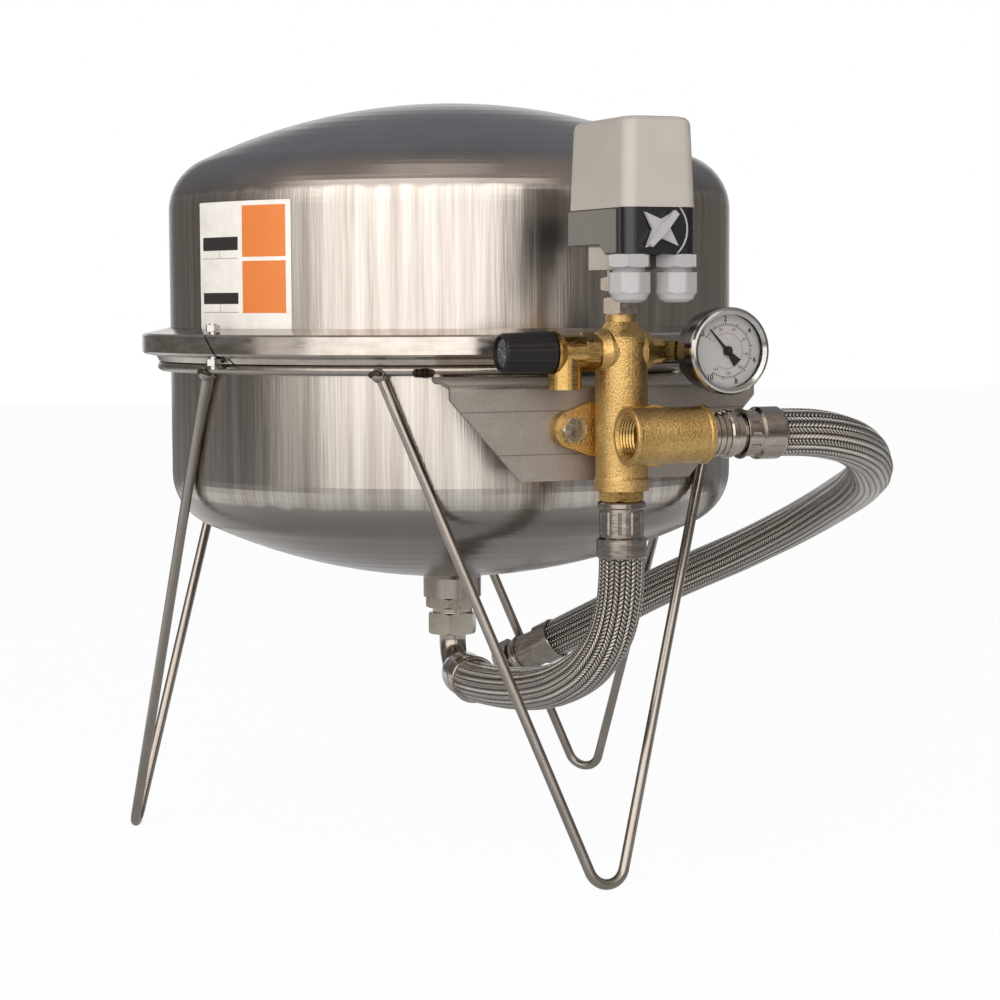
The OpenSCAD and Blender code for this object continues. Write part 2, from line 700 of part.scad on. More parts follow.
module relief_disc() {
    start = relief_reach + relief_cap_l - 3.1;
    color("#8d8f92") on_left_port() translate([0, 0, start]) difference() {
        turned([[0, 0], [relief_cap_d / 2 - 4.1, 0], [relief_cap_d / 2 - 4.1, 1.2], [9, 1.6], [0, 1.6]]);
        for (i = [0:5]) rotate([0, 0, i * 60]) translate([5, 0, 0.9]) cylinder(r = 2, h = 2, $fn = 6);
    }
}

// Places its children on the gauge's axis, with local Z pointing to the reader
module on_gauge() {
    translate([gauge_reach, gauge_y, port_z]) rotate([90, 0, 0]) children();
}

module gauge_stem() {
    start = body_d / 2 + 2 + fit;
    stop = gauge_reach - gauge_r + 5;
    color("#bf953b") translate([0, body_y, port_z]) rotate([0, 90, 0]) difference() {
        union() {
            translate([0, 0, start - 8]) cylinder(d = 12.4, h = 9);
            translate([0, 0, start]) cylinder(d1 = 22, d2 = 18, h = 10);
            translate([-7, -7, start + 9]) cube([14, 14, stop - start - 9]);
        }
        translate([0, 0, start - 10]) cylinder(d = 5, h = 15);
    }
}

module gauge_case() {
    back = gauge_depth - gauge_front;
    color("#1d1d1f") on_gauge() difference() {
        turned([[0, -back], [gauge_r - 5, -back], [gauge_r - 2.5, -back + 2.5], [gauge_r - 2.5, 13],
                [gauge_r - 4.5, 13], [gauge_r - 4.5, 10.4], [0, 10.4]]);
        translate([-gauge_r - 4, -7 - fit, gauge_y - body_y - 7 - fit])
            cube([13 + fit, 14 + 2 * fit, 14 + 2 * fit]);
    }
}

module gauge_bezel() {
    r = gauge_r;
    f = gauge_front;
    color("#c9c9c8") on_gauge() turned([
        [r - 2.4, f - 14], [r - 0.6, f - 14], [r, f - 13], [r, f - 2], [r - 1.2, f - 0.4], [r - 2.6, f],
        [r - 5, f - 1.6], [r - 5, f - 2.4], [r - 2.4, f - 2.4]]);
}

module gauge_dial() {
    color("#e9e6df") on_gauge() translate([0, 0, 10.5]) difference() {
        cylinder(r = gauge_r - 4.7, h = 1);
        translate([0, 0, -1]) cylinder(d = spindle_d + 1, h = 3);
    }
}

module gauge_spindle() {
    color("#b98f3a") on_gauge() translate([0, 0, 10.4]) cylinder(d = spindle_d, h = 3.8);
}

// Pointer with a fan-shaped tail, at the start of its sweep
module gauge_pointer() {
    color("#161616") on_gauge() rotate([0, 0, pointer_rest]) translate([0, 0, 12.2]) difference() {
        union() {
            cylinder(d = 7, h = 1.6);
            linear_extrude(0.8) polygon([[-1.2, 0], [-0.35, 21], [0.35, 21], [1.2, 0]]);
            linear_extrude(0.8) polygon([[-1.2, 0], [-3.6, -11.5], [3.6, -11.5], [1.2, 0]]);
        }
        translate([0, 0, -1]) cylinder(d = spindle_d + 2 * running, h = 4);
    }
}

module gauge_glass() {
    color("#dfe9ec") on_gauge() translate([0, 0, 15]) cylinder(r = gauge_r - 2.6, h = 1.5);
}

module switch_nut() {
    color("#a7a196") translate([0, body_y, neck_z + fit]) hex_nut(24, 12, 12);
}

module switch_fitting() {
    color("#b0aa9e") difference() {
        translate([0, body_y, 0]) {
            translate([0, 0, neck_z - 10]) cylinder(d = 11.8, h = base_z - 8);
            translate([0, 0, neck_z + 16.5]) hex_nut(28, 10, 11);
            translate([0, 0, neck_z + 26]) cylinder(d = 20, h = base_z - 26 - 10 - fit);
        }
        translate([0, body_y, neck_z - 11]) cylinder(d = 6, h = 30);
    }
}

// Block of the pressure chamber under the raised rear of the base
module switch_flange() {
    front = low_y + 9;
    under = switch_z - 10;
    color("#c9c6c0") difference() {
        translate([-block_w / 2, front, under]) cube([block_w, block_w + 6, 10 + base_step - fit]);
        translate([0, body_y, under - 1]) cylinder(d = 6, h = 12);
    }
}

// Outline of the housing in plan, with round vertical corners
module housing_plan(inset, radius) {
    w = switch_w - 2 * inset;
    l = switch_l - 2 * inset;
    translate([-w / 2 + radius, switch_y + inset + radius]) square([w - 2 * radius, l - 2 * radius]);
    for (x = [-1, 1], y = [0, 1])
        translate([x * (w / 2 - radius), switch_y + inset + radius + y * (l - 2 * radius)]) circle(r = radius);
    translate([-w / 2, switch_y + inset + radius]) square([w, l - 2 * radius]);
    translate([-w / 2 + radius, switch_y + inset]) square([w - 2 * radius, l]);
}

module switch_base() {
    color("#19191b") difference() {
        union() {
            translate([0, 0, switch_z]) linear_extrude(base_h - fit) housing_plan(0.6, 8);
            translate([0, 0, cover_z - 1]) linear_extrude(9) housing_plan(cover_t + 1, 6);
            translate([-switch_w * 0.3, switch_y + switch_l * 0.2, cover_z])
                cube([switch_w * 0.6, switch_l * 0.52, cover_h * 0.55]);
        }
        translate([-switch_w, 0, 0]) rotate([90, 0, 90]) linear_extrude(2 * switch_w) polygon([
            [low_y, switch_z - 1], [low_y, switch_z], [low_y + 8, switch_z + base_step],
            [switch_y + switch_l + 1, switch_z + base_step], [switch_y + switch_l + 1, switch_z - 1]]);
        translate([knob_x, switch_y - 1, knob_z]) rotate([-90, 0, 0])
            cylinder(d = knob_shaft_d + 2 * running, h = 12);
    }
}

// Slice of the cover's outside at a height, drawn in by the draft of the mould
module cover_slice(height, inset, radius) {
    draft = height * tan(cover_draft);
    translate([0, 0, height]) linear_extrude(0.1) housing_plan(inset + draft, radius, $fn = 32);
}

module switch_cover() {
    shoulder = cover_h - 6;
    color("#b8b3ab") translate([0, 0, cover_z]) difference() {
        hull() {
            cover_slice(0, 0, 9);
            for (i = [0:3]) let (a = i * 30)
                cover_slice(shoulder + 5.9 * sin(a), 5 * (1 - cos(a)), 9);
        }
        hull() {
            cover_slice(-1, cover_t, 7);
            cover_slice(shoulder + 2, cover_t + 1, 7);
        }
    }
}

module switch_plate() {
    rear = switch_y + switch_l - 4;
    color("#8f8c87") translate([-switch_w / 2 + 0.5, 0, 0]) rotate([0, -90, 0])
        linear_extrude(0.8) polygon([
            [switch_z + 1, switch_y + 15], [cover_z - 1, switch_y + 15], [cover_z - 1, rear],
            [switch_z + base_step + 1, rear], [switch_z + base_step + 1, low_y + 8],
            [switch_z + 1, low_y]]);
}

// Four-pointed selector knob with a raised bar
module switch_knob() {
    color("#c4c4c6") translate([knob_x, switch_y, knob_z]) rotate([90, 0, 0]) rotate([0, 0, -42]) {
        translate([0, 0, -10]) cylinder(d = knob_shaft_d, h = 11);
        translate([0, 0, 0.6]) linear_extrude(3)
            polygon([for (i = [0:7]) let (r = i % 2 == 0 ? 17 : 6.5) [r * sin(i * 45), r * cos(i * 45)]]);
        translate([0, 0, 3.5]) linear_extrude(4)
            polygon([[-2, -15], [2, -15], [3.2, 0], [2, 15], [-2, 15], [-3.2, 0]]);
    }
}

module gland(side) {
    color("#c2c3c6") translate([side * gland_pitch / 2, gland_y, switch_z]) difference() {
        union() {
            translate([0, 0, -9]) hex_bar(27, 9 - fit);
            translate([0, 0, -15]) cylinder(d = 21, h = 7);
        }
        translate([0, 0, -20]) cylinder(d = 13, h = 30);
    }
}

module gland_nut(side) {
    r = gland_d / 2;
    color("#c6c7ca") translate([side * gland_pitch / 2, gland_y, switch_z - 33]) difference() {
        intersection() {
            cylinder(r = r / cos(22.5), h = 20.5, $fn = 8);
            turned([[0, 0], [r - 6, 0], [r - 2.4, 2], [r - 0.6, 5.5], [r + 0.8, 7], [r + 0.8, 20.5],
                    [0, 20.5]]);
        }
        translate([0, 0, 8]) cylinder(d = 21.4, h = 20);
        translate([0, 0, -1]) cylinder(d = 12, h = 20);
    }
}

module left_gland() gland(-1);
module right_gland() gland(1);
module left_gland_nut() gland_nut(-1);
module right_gland_nut() gland_nut(1);

// Ferrule along local Z: a bead, a fluted crimp and a round collar, with a hose pushed into the collar
module ferrule(bead_l, crimp_l, collar_l, hose) {
    k = hose / hose_d;
    r = ferrule_d / 2 * k;
    c = collar_d / 2 * k;
    crimp = bead_l + crimp_l;
    total = crimp + collar_l;
    difference() {
        turned([[8, 0], [c - 1.6, 0], [c - 0.7, 1], [c - 0.7, bead_l - 1], [r, bead_l], [r, crimp],
                [c, crimp + 1.5], [c, total - 1], [c - 0.6, total], [hose / 2 + fit, total],
                [hose / 2 + fit, total - hose_in - fit], [8, total - hose_in - fit]]);
        for (i = [0:11]) rotate([0, 0, i * 30]) translate([r + 1.2, 0, bead_l + 2])
            cylinder(r = 2, h = crimp_l - 4, $fn = 8);
    }
}

module feed_ferrule() {
    color("#8e8983") translate([0, body_y, body_bottom - 8]) mirror([0, 0, 1])
        ferrule(5, ferrule_l, collar_l, hose_d);
}

module feed_end_ferrule() {
    c = collar_d / 2;
    h = hose_d / 2 + fit;
    color("#8e8983") rotate([0, 0, elbow_az]) translate([collar_reach - 8, 0, elbow_z]) rotate([0, 90, 0])
        turned([[elbow_d / 2 + fit, 0], [c - 4, 0], [c - 0.8, 5], [c, 12], [c, 30], [c - 0.6, 31],
                [h, 31], [h, 31 - hose_in - fit], [5, 31 - hose_in - fit], [5, 9], [elbow_d / 2 + fit, 9]]);
}

// Turned nipple in the tee's right end: a ribbed neck, a bead and a narrower ring
module supply_nipple() {
    r = port_bore / 2 - 0.3;
    color("#a9a49d") translate([tee_right, tee_y, tee_z]) rotate([0, 90, 0]) turned([
        [10, -12], [r, -12], [r, 0.5], [r + 1, 1], [r + 1, 3], [r, 3.5], [r, 5], [r + 1, 5.5], [r + 1, 7.5],
        [r, 8], [r, 9.5], [r + 1, 10], [r + 1, 13], [r + 2, 13.6], [r + 2.5, 15], [r + 2.5, 18],
        [r + 2, 19.4], [r + 0.4, 20], [r + 0.4, 25], [r - 2, 25.6], [r - 2, 27], [10, 27]]);
}

module supply_ferrule() {
    color("#8e8983") translate([tee_right + 27 + fit, tee_y, tee_z]) rotate([0, 90, 0])
        ferrule(0.8, 11, 18.2, supply_d);
}

// Two directions across a route at one of its points, kept from twisting by one fixed direction
function hose_frame(route, i, fixed) =
    let (n = len(route) - 1,
         d = unit(i == 0 ? route[1] - route[0] : i == n ? route[n] - route[n - 1] : route[i + 1] - route[i - 1]),
         side = unit(cross(d, fixed)))
    [side, cross(side, d)];

// Tube with twelve sides swept along the points of a route
module hose(route, fixed, diameter) {
    sides = 12;
    last = len(route) - 1;
    points = [for (i = [0:last]) let (f = hose_frame(route, i, fixed))
        for (k = [0:sides - 1]) route[i] + diameter / 2 * (cos(k * 30) * f[0] + sin(k * 30) * f[1])];
    walls = [for (i = [0:last - 1], k = [0:sides - 1]) let (m = (k + 1) % sides)
        [i * sides + k, i * sides + m, (i + 1) * sides + m, (i + 1) * sides + k]];
    polyhedron(points, concat(walls, [[for (k = [sides - 1:-1:0]) k]],
                              [[for (k = [0:sides - 1]) last * sides + k]]));
}

module feed_hose() {
    color("#77726c") hose(FEED_ROUTE, [1, 0, 0], hose_d);
}

module supply_hose() {
    color("#77726c") hose(SUPPLY_ROUTE, [0, 0, 1], supply_d);
}

// Places its children at the supply hose's free end, with local Z pointing on along the hose
module on_hose_end() {
    n = len(SUPPLY_ROUTE) - 1;
    d = unit(SUPPLY_ROUTE[n] - SUPPLY_ROUTE[n - 1]);
    translate(SUPPLY_ROUTE[n]) rotate([0, 0, atan2(d[1], d[0])]) rotate([0, acos(d[2]), 0]) children();
}

module supply_end_ferrule() {
    color("#8e8983") on_hose_end() translate([0, 0, end_ferrule_l - hose_in]) mirror([0, 0, 1])
        ferrule(1, end_crimp_l, end_collar_l, supply_d);
}

// Swivel nut with its turned neck at the supply hose's free end
module supply_end_nut() {
    r = port_bore / 2;
    color("#a9a49d") on_hose_end() translate([0, 0, end_ferrule_l - hose_in + fit]) difference() {
        union() {
            turned([[0, 0], [r - 3, 0], [r - 3, 1], [r, 1.6], [r + 1, 3], [r + 1, 6], [r - 2, 7.4], [r - 2, 9],
                    [0, 9]]);
            translate([0, 0, 8.8]) hex_bar(2 * r + 4, 15);
        }
        translate([0, 0, 9.8]) cylinder(r = r, h = 20);
        translate([0, 0, -1]) cylinder(d = 16, h = 20);
    }
}

// Curved label on the upper half's skirt
module shell_label() {
    color("#efede8") translate([0, 0, mid_z + label_rise]) rotate([0, 0, label_az])
        rotate_extrude(angle = label_span) translate([shell_r + fit, 0]) square([label_t, label_h]);
}

upper_shell();
lower_shell();
diaphragm();
clamp_ring();
clamp_bolt();
bottom_socket();
reducing_bush();
union_nut();
elbow();
gas_valve();
gas_valve_cap();
stand_ring();
left_leg();
front_leg();
rear_leg();
bracket();
manifold();
manifold_bolts();
bottom_adapter();
relief_body();
relief_cap();
relief_disc();
gauge_stem();
gauge_case();
gauge_bezel();
gauge_dial();
gauge_spindle();
gauge_pointer();
gauge_glass();
switch_nut();
switch_fitting();
switch_flange();
switch_base();
switch_cover();
switch_plate();
switch_knob();
left_gland();
right_gland();
left_gland_nut();
right_gland_nut();
feed_ferrule();
feed_hose();
feed_end_ferrule();
supply_nipple();
supply_ferrule();
supply_hose();
supply_end_ferrule();
supply_end_nut();
shell_label();
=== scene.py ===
"""Looks of a well pressure tank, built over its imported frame.

The tank stands on a rod stand and carries a cast manifold with a relief valve, a gauge, a pressure
switch and two braided hoses. Each sub-assembly is a class that holds its sizes in metres, builds the
pieces that the frame lacks and gives every piece its finish.
"""

from __future__ import annotations

import json
import logging
import math
from dataclasses import dataclass, field
from enum import Enum

import bmesh
import bpy
import numpy as np
from mathutils import Matrix

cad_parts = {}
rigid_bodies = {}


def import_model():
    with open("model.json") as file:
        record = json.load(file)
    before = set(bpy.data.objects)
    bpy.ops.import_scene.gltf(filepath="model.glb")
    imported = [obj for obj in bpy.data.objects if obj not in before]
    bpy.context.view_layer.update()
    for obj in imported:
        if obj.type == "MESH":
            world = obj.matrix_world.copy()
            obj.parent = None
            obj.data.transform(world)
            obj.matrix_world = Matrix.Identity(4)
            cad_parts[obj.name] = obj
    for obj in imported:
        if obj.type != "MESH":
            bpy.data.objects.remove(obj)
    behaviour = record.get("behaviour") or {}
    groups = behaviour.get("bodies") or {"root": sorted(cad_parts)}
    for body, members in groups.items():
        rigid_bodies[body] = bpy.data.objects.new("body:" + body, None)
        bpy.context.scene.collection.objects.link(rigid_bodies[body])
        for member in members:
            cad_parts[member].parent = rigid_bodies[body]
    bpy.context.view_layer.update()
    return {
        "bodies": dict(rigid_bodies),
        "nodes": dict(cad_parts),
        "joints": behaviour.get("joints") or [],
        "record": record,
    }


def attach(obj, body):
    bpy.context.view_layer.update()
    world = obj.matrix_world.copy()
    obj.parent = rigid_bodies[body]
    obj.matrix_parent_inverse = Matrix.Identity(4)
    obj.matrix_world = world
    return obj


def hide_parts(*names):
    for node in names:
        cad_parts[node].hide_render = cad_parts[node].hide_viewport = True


LOG = logging.getLogger("pressure_tank")
MM = 0.001
TAU = 2.0 * math.pi
Array = np.ndarray


# Colour and nodes


def linear(hex_colour: str) -> tuple[float, float, float, float]:
    """Turn an sRGB hex colour into linear RGBA.

    Each channel c becomes c / 12.92 below 0.04045 and ((c + 0.055) / 1.055) ** 2.4 above it.

    Args:
        hex_colour: Colour such as "#8d8680".

    Returns:
        Linear red, green, blue and an alpha of 1.
    """
    channels = [int(hex_colour[i : i + 2], 16) / 255.0 for i in (1, 3, 5)]
    low = [c / 12.92 if c <= 0.04045 else ((c + 0.055) / 1.055) ** 2.4 for c in channels]
    return (low[0], low[1], low[2], 1.0)


def add(
    tree: bpy.types.NodeTree, kind: str, inputs: dict | None = None, **settings: object
) -> bpy.types.Node:
    """Add one node with its settings, values and links.

    Args:
        tree: Node tree that gets the node.
        kind: Blender's name of the node type.
        inputs: Value or source socket for each input, by name or number.
        settings: Properties of the node itself.

    Returns:
        The new node.
    """
    node = tree.nodes.new(kind)
    for name, value in settings.items():
        setattr(node, name, value)
    for name, value in (inputs or {}).items():
        if isinstance(value, bpy.types.NodeSocket):
            tree.links.new(value, node.inputs[name])
        else:
            node.inputs[name].default_value = value
    return node


def maths(tree: bpy.types.NodeTree, operation: str, *values: object) -> bpy.types.NodeSocket:
    """Combine values or sockets with one Math operation and return its socket."""
    return add(tree, "ShaderNodeMath", dict(enumerate(values)), operation=operation).outputs[0]


def blend(tree: bpy.types.NodeTree, share: object, low: object, high: object) -> bpy.types.NodeSocket:
    """Mix two colours, (1 - share) * low + share * high, and return the socket."""
    node = add(tree, "ShaderNodeMix", {0: share, 6: low, 7: high}, data_type="RGBA")
    return node.outputs[2]


def spread(
    tree: bpy.types.NodeTree, value: object, low: float, high: float, to_low: float, to_high: float
) -> bpy.types.NodeSocket:
    """Map low..high to to_low..to_high, clamped, and return the socket."""
    return add(tree, "ShaderNodeMapRange", {0: value, 1: low, 2: high, 3: to_low, 4: to_high}).outputs[0]


def noise(
    tree: bpy.types.NodeTree, vector: object, size: float, detail: float = 3.0, roughness: float = 0.55
) -> bpy.types.NodeSocket:
    """Noise whose lumps are about size metres across, as a socket from 0 to 1."""
    node = add(
        tree, "ShaderNodeTexNoise",
        {"Vector": vector, "Scale": 1.0 / size, "Detail": detail, "Roughness": roughness},
    )
    return node.outputs[0]


class Grain(Enum):
    """Mark that the making of a metal surface leaves on it."""

    CAST = "sand casting"
    DRAWN = "drawing through a die"
    TURNED = "lathe tool"
    PLATED = "electroplating"


@dataclass(frozen=True)
class Finish:
    """Shared part of every finish: its name, its colour and how rough it is."""

    name: str
    colour: str
    roughness: float

    def start(self) -> tuple[bpy.types.Material, bpy.types.NodeTree, bpy.types.Node, bpy.types.NodeSocket]:
        """Make the material with its shader and object coordinates.

        Returns:
            The material, its tree, its Principled shader and the Object coordinate socket.
        """
        material = bpy.data.materials.new(self.name)
        material.use_nodes = True
        tree = material.node_tree
        shader = tree.nodes["Principled BSDF"]
        shader.inputs["Base Color"].default_value = linear(self.colour)
        shader.inputs["Roughness"].default_value = self.roughness
        coords = add(tree, "ShaderNodeTexCoord").outputs["Object"]
        return material, tree, shader, coords


@dataclass(frozen=True)
class Metal(Finish):
    """Bare or plated metal with the grain of its making.

    The grain sets both the bump and the roughness, and a slow mottle between two colours stands for
    handling marks and tarnish.
    """

    shade: str
    grain: Grain
    size: float
    depth: float
    mottle: float = 25 * MM

    def stretched(self, tree: bpy.types.NodeTree, coords: bpy.types.NodeSocket) -> bpy.types.NodeSocket:
        """Coordinates squeezed so that the noise runs the way the tool ran.

        Args:
            tree: Node tree of the material.
            coords: Object coordinates.

        Returns:
            Coordinates multiplied by one number along each axis.
        """
        along = {
            Grain.DRAWN: (1.0, 1.0, 0.06),
            Grain.TURNED: (0.25, 0.25, 1.0),
        }.get(self.grain, (1.0, 1.0, 1.0))
        return add(tree, "ShaderNodeMapping", {"Vector": coords, "Scale": along}).outputs[0]

    def material(self) -> bpy.types.Material:
        """Build the material."""
        material, tree, shader, coords = self.start()
        shader.inputs["Metallic"].default_value = 1.0
        grain = noise(tree, self.stretched(tree, coords), self.size, 4.0)
        slow = noise(tree, coords, self.mottle, 3.0)
        patch = spread(tree, slow, 0.35, 0.68, 0.0, 1.0)
        fleck = spread(tree, grain, 0.36, 0.66, 0.0, 1.0)
        share = maths(tree, "MULTIPLY_ADD", fleck, 0.6, maths(tree, "MULTIPLY_ADD", patch, 0.3, 0.1))
        tree.links.new(
            blend(tree, share, linear(self.shade), linear(self.colour)), shader.inputs["Base Color"]
        )
        rough = spread(tree, grain, 0.3, 0.7, self.roughness * 0.78, min(1.0, self.roughness * 1.3))
        tree.links.new(rough, shader.inputs["Roughness"])
        bump = add(tree, "ShaderNodeBump", {"Height": grain, "Distance": self.depth, "Strength": 0.7})
        tree.links.new(bump.outputs[0], shader.inputs["Normal"])
        return material


@dataclass(frozen=True)
class ScribedSheet(Metal):
    """Rolled sheet with dark lines painted at given heights, a painted shade of shallow bends in the sheet.
    """

    lines: tuple[float, ...] = ()

    def material(self) -> bpy.types.Material:
        """Build the metal and darken it within 0.35 mm of each line, as painted bend shade."""
        material = super().material()
        tree = material.node_tree
        shader = tree.nodes["Principled BSDF"]
        plain_colour = shader.inputs["Base Color"].links[0].from_socket
        coords = add(tree, "ShaderNodeTexCoord").outputs["Object"]
        height = add(tree, "ShaderNodeSeparateXYZ", {0: coords}).outputs[2]
        for line in self.lines:
            away = maths(tree, "ABSOLUTE", maths(tree, "SUBTRACT", height, line))
            # painted shade: a dark line at each bend, where the bent sheet turns away from the light
            painted_bend_shade = spread(tree, away, 0.2 * MM, 0.5 * MM, 0.75, 0.0)
            plain_colour = blend(tree, painted_bend_shade, plain_colour, linear("#6c665f"))
        tree.links.new(plain_colour, shader.inputs["Base Color"])
        return material


@dataclass(frozen=True)
class LacqueredRim(Metal):
    """Chromed ring whose skirt behind a given depth is lacquered black."""

    depth_y: float = 0.0
    lacquer: str = "#161518"

    def material(self) -> bpy.types.Material:
        """Build the metal and cover its skirt with glossy lacquer."""
        material = super().material()
        tree = material.node_tree
        shader = tree.nodes["Principled BSDF"]
        bare = shader.inputs["Base Color"].links[0].from_socket
        coords = add(tree, "ShaderNodeTexCoord").outputs["Object"]
        y = add(tree, "ShaderNodeSeparateXYZ", {0: coords}).outputs[1]
        skirt = spread(tree, y, self.depth_y, self.depth_y + 0.3 * MM, 0.0, 1.0)
        tree.links.new(blend(tree, skirt, bare, linear(self.lacquer)), shader.inputs["Base Color"])
        tree.links.new(maths(tree, "SUBTRACT", 1.0, skirt), shader.inputs["Metallic"])
        return material


@dataclass(frozen=True)
class PolishedShell(Finish):
    """Deep-drawn steel shell, belt polished upright on its skirts and left plain on its heads.

    The belt leaves fine upright lines that break a reflection into streaks; above and below the skirts
    the drawn head is smoother and a little bluer, with faint rings. Below the lower skirt the head is
    darkened over 40 mm, a painted shade of the tank's underside.
    """

    head: str
    skirt_low: float
    skirt_high: float

    def material(self) -> bpy.types.Material:
        """Build the material from height bands in object coordinates."""
        material, tree, shader, coords = self.start()
        shader.inputs["Metallic"].default_value = 1.0
        split = add(tree, "ShaderNodeSeparateXYZ", {0: coords})
        x, y, z = split.outputs
        wander = maths(tree, "MULTIPLY", noise(tree, coords, 18 * MM, 2.0), 7 * MM)
        height = maths(tree, "ADD", z, wander)
        above = spread(tree, height, self.skirt_high, self.skirt_high + 3 * MM, 1.0, 0.0)
        below = spread(tree, height, self.skirt_low - 3 * MM, self.skirt_low, 0.0, 1.0)
        skirt = maths(tree, "MULTIPLY", above, below)
        turn = maths(tree, "ARCTAN2", y, x)
        around = maths(tree, "MULTIPLY", turn, 0.23)
        upright = add(
            tree, "ShaderNodeCombineXYZ", {0: around, 1: maths(tree, "MULTIPLY", z, 0.02), 2: 0.0}
        ).outputs[0]
        # streaks about 3 mm wide, coarse enough to show, over lines of 0.8 mm
        coarse = noise(tree, upright, 9 * MM, 5.0, 0.6)
        fine = noise(tree, upright, 1.4 * MM, 2.0)
        radius = maths(
            tree, "SQRT", maths(tree, "ADD", maths(tree, "MULTIPLY", x, x), maths(tree, "MULTIPLY", y, y))
        )
        rings = add(
            tree, "ShaderNodeCombineXYZ", {0: radius, 1: maths(tree, "MULTIPLY", turn, 0.004), 2: z}
        ).outputs[0]
        lathe = noise(tree, rings, 2.2 * MM, 3.0)
        brushed = maths(tree, "MULTIPLY_ADD", fine, 0.3, maths(tree, "MULTIPLY", coarse, 0.7))
        grain = add(tree, "ShaderNodeMix", {0: skirt, 2: lathe, 3: brushed}, data_type="FLOAT").outputs[0]
        cloud = spread(tree, noise(tree, coords, 60 * MM, 4.0), 0.3, 0.7, 0.0, 1.0)
        tone = blend(
            tree, spread(tree, brushed, 0.38, 0.62, 0.0, 1.0), linear("#a79f97"), linear(self.colour)
        )
        # painted shade: the lower head turns darker over the 40 mm below the skirt, for the shade under the
        # tank
        under = spread(tree, z, self.skirt_low - 40 * MM, self.skirt_low, 1.0, 0.0)
        plain_head = blend(tree, cloud, linear("#948e8a"), linear(self.head))
        head_with_painted_shade = blend(tree, under, plain_head, linear("#8b847e"))
        tree.links.new(blend(tree, skirt, head_with_painted_shade, tone), shader.inputs["Base Color"])
        rough = add(
            tree, "ShaderNodeMix", {0: skirt, 2: 0.24, 3: self.roughness}, data_type="FLOAT"
        ).outputs[0]
        jitter = maths(tree, "MULTIPLY_ADD", grain, 0.16, maths(tree, "SUBTRACT", rough, 0.08))
        tree.links.new(jitter, shader.inputs["Roughness"])
        relief = maths(tree, "MULTIPLY_ADD", skirt, 0.8, 0.2)
        deep = maths(tree, "MULTIPLY", maths(tree, "SUBTRACT", grain, 0.5), relief)
        bump = add(tree, "ShaderNodeBump", {"Height": deep, "Distance": 0.55 * MM, "Strength": 0.5})
        tree.links.new(bump.outputs[0], shader.inputs["Normal"])
        return material


@dataclass(frozen=True)
class Moulding(Finish):
    """Injection-moulded plastic with a spark-eroded texture and a faint cloud of colour."""

    grain: float = 0.5 * MM
    depth: float = 0.03 * MM
    sheen_share: float = 0.5

    def material(self) -> bpy.types.Material:
        """Build the material."""
        material, tree, shader, coords = self.start()
        shader.inputs["IOR"].default_value = 1.5
        shader.inputs["Specular IOR Level"].default_value = self.sheen_share
        texture = noise(tree, coords, self.grain, 2.0)
        cloud = spread(tree, noise(tree, coords, 22 * MM, 3.0), 0.3, 0.7, 0.0, 1.0)
        red, green, blue, _ = linear(self.colour)
        darker = (red * 0.94, green * 0.94, blue * 0.94, 1.0)
        tree.links.new(blend(tree, cloud, darker, linear(self.colour)), shader.inputs["Base Color"])
        tree.links.new(
            spread(tree, texture, 0.3, 0.7, self.roughness * 0.85, min(1.0, self.roughness * 1.2)),
            shader.inputs["Roughness"],
        )
        bump = add(tree, "ShaderNodeBump", {"Height": texture, "Distance": self.depth, "Strength": 0.6})
        tree.links.new(bump.outputs[0], shader.inputs["Normal"])
        return material


@dataclass(frozen=True)
class Braid(Finish):
    """Round-braided stainless wire, two strands over and two under.

    With u the turns round the hose times the number of ribs and v the length over the pitch, the rib
    number is floor(u), its crown is sin(pi * frac(u)), and a strand crosses it at frac(v + u) on even
    ribs and frac(v - u) on odd ones. The crossing wires give chevrons with one bright dot each.
    The colour falls from the wire's colour to a dark one away from each crown, painted shade on the
    wires' flanks and in the gaps between them.
    """

    gap: str
    ribs: int
    pitch: float

    def material(self) -> bpy.types.Material:
        """Build the material from the hose's own UV map: turns round it and metres along it."""
        material, tree, shader, _ = self.start()
        shader.inputs["Metallic"].default_value = 1.0
        split = add(
            tree, "ShaderNodeSeparateXYZ", {0: add(tree, "ShaderNodeUVMap", uv_map="hose").outputs[0]}
        )
        u = maths(tree, "MULTIPLY", split.outputs[0], float(self.ribs))
        v = maths(tree, "DIVIDE", split.outputs[1], self.pitch)
        odd = maths(tree, "MODULO", maths(tree, "FLOOR", u), 2.0)
        side = maths(tree, "MULTIPLY_ADD", odd, -2.0, 1.0)
        strand = maths(tree, "FRACT", maths(tree, "MULTIPLY_ADD", u, side, v))
        crown = maths(tree, "SINE", maths(tree, "MULTIPLY", maths(tree, "FRACT", u), math.pi))
        wire = maths(tree, "SINE", maths(tree, "MULTIPLY", strand, math.pi))
        # the strand's separate wires, drawn four to a strand so that they show
        lines = maths(tree, "SINE", maths(tree, "MULTIPLY", strand, 8.0 * math.pi))
        body = maths(tree, "MULTIPLY", maths(tree, "POWER", wire, 0.9), maths(tree, "POWER", crown, 0.75))
        height = maths(tree, "MULTIPLY_ADD", lines, 0.05, body)
        # painted shade: the colour darkens on the wires' flanks and in the gaps, where shade falls between
        # them
        tree.links.new(
            blend(tree, spread(tree, body, 0.10, 0.62, 0.0, 1.0), linear(self.gap), linear(self.colour)),
            shader.inputs["Base Color"],
        )
        bump = add(tree, "ShaderNodeBump", {"Height": height, "Distance": 1.9 * MM, "Strength": 1.0})
        tree.links.new(bump.outputs[0], shader.inputs["Normal"])
        return material


@dataclass(frozen=True)
class Panel:
    """One printed field of the label: its sides in degrees, its ends in metres and its colour."""

    left: float
    right: float
    bottom: float
    top: float
    ink: str


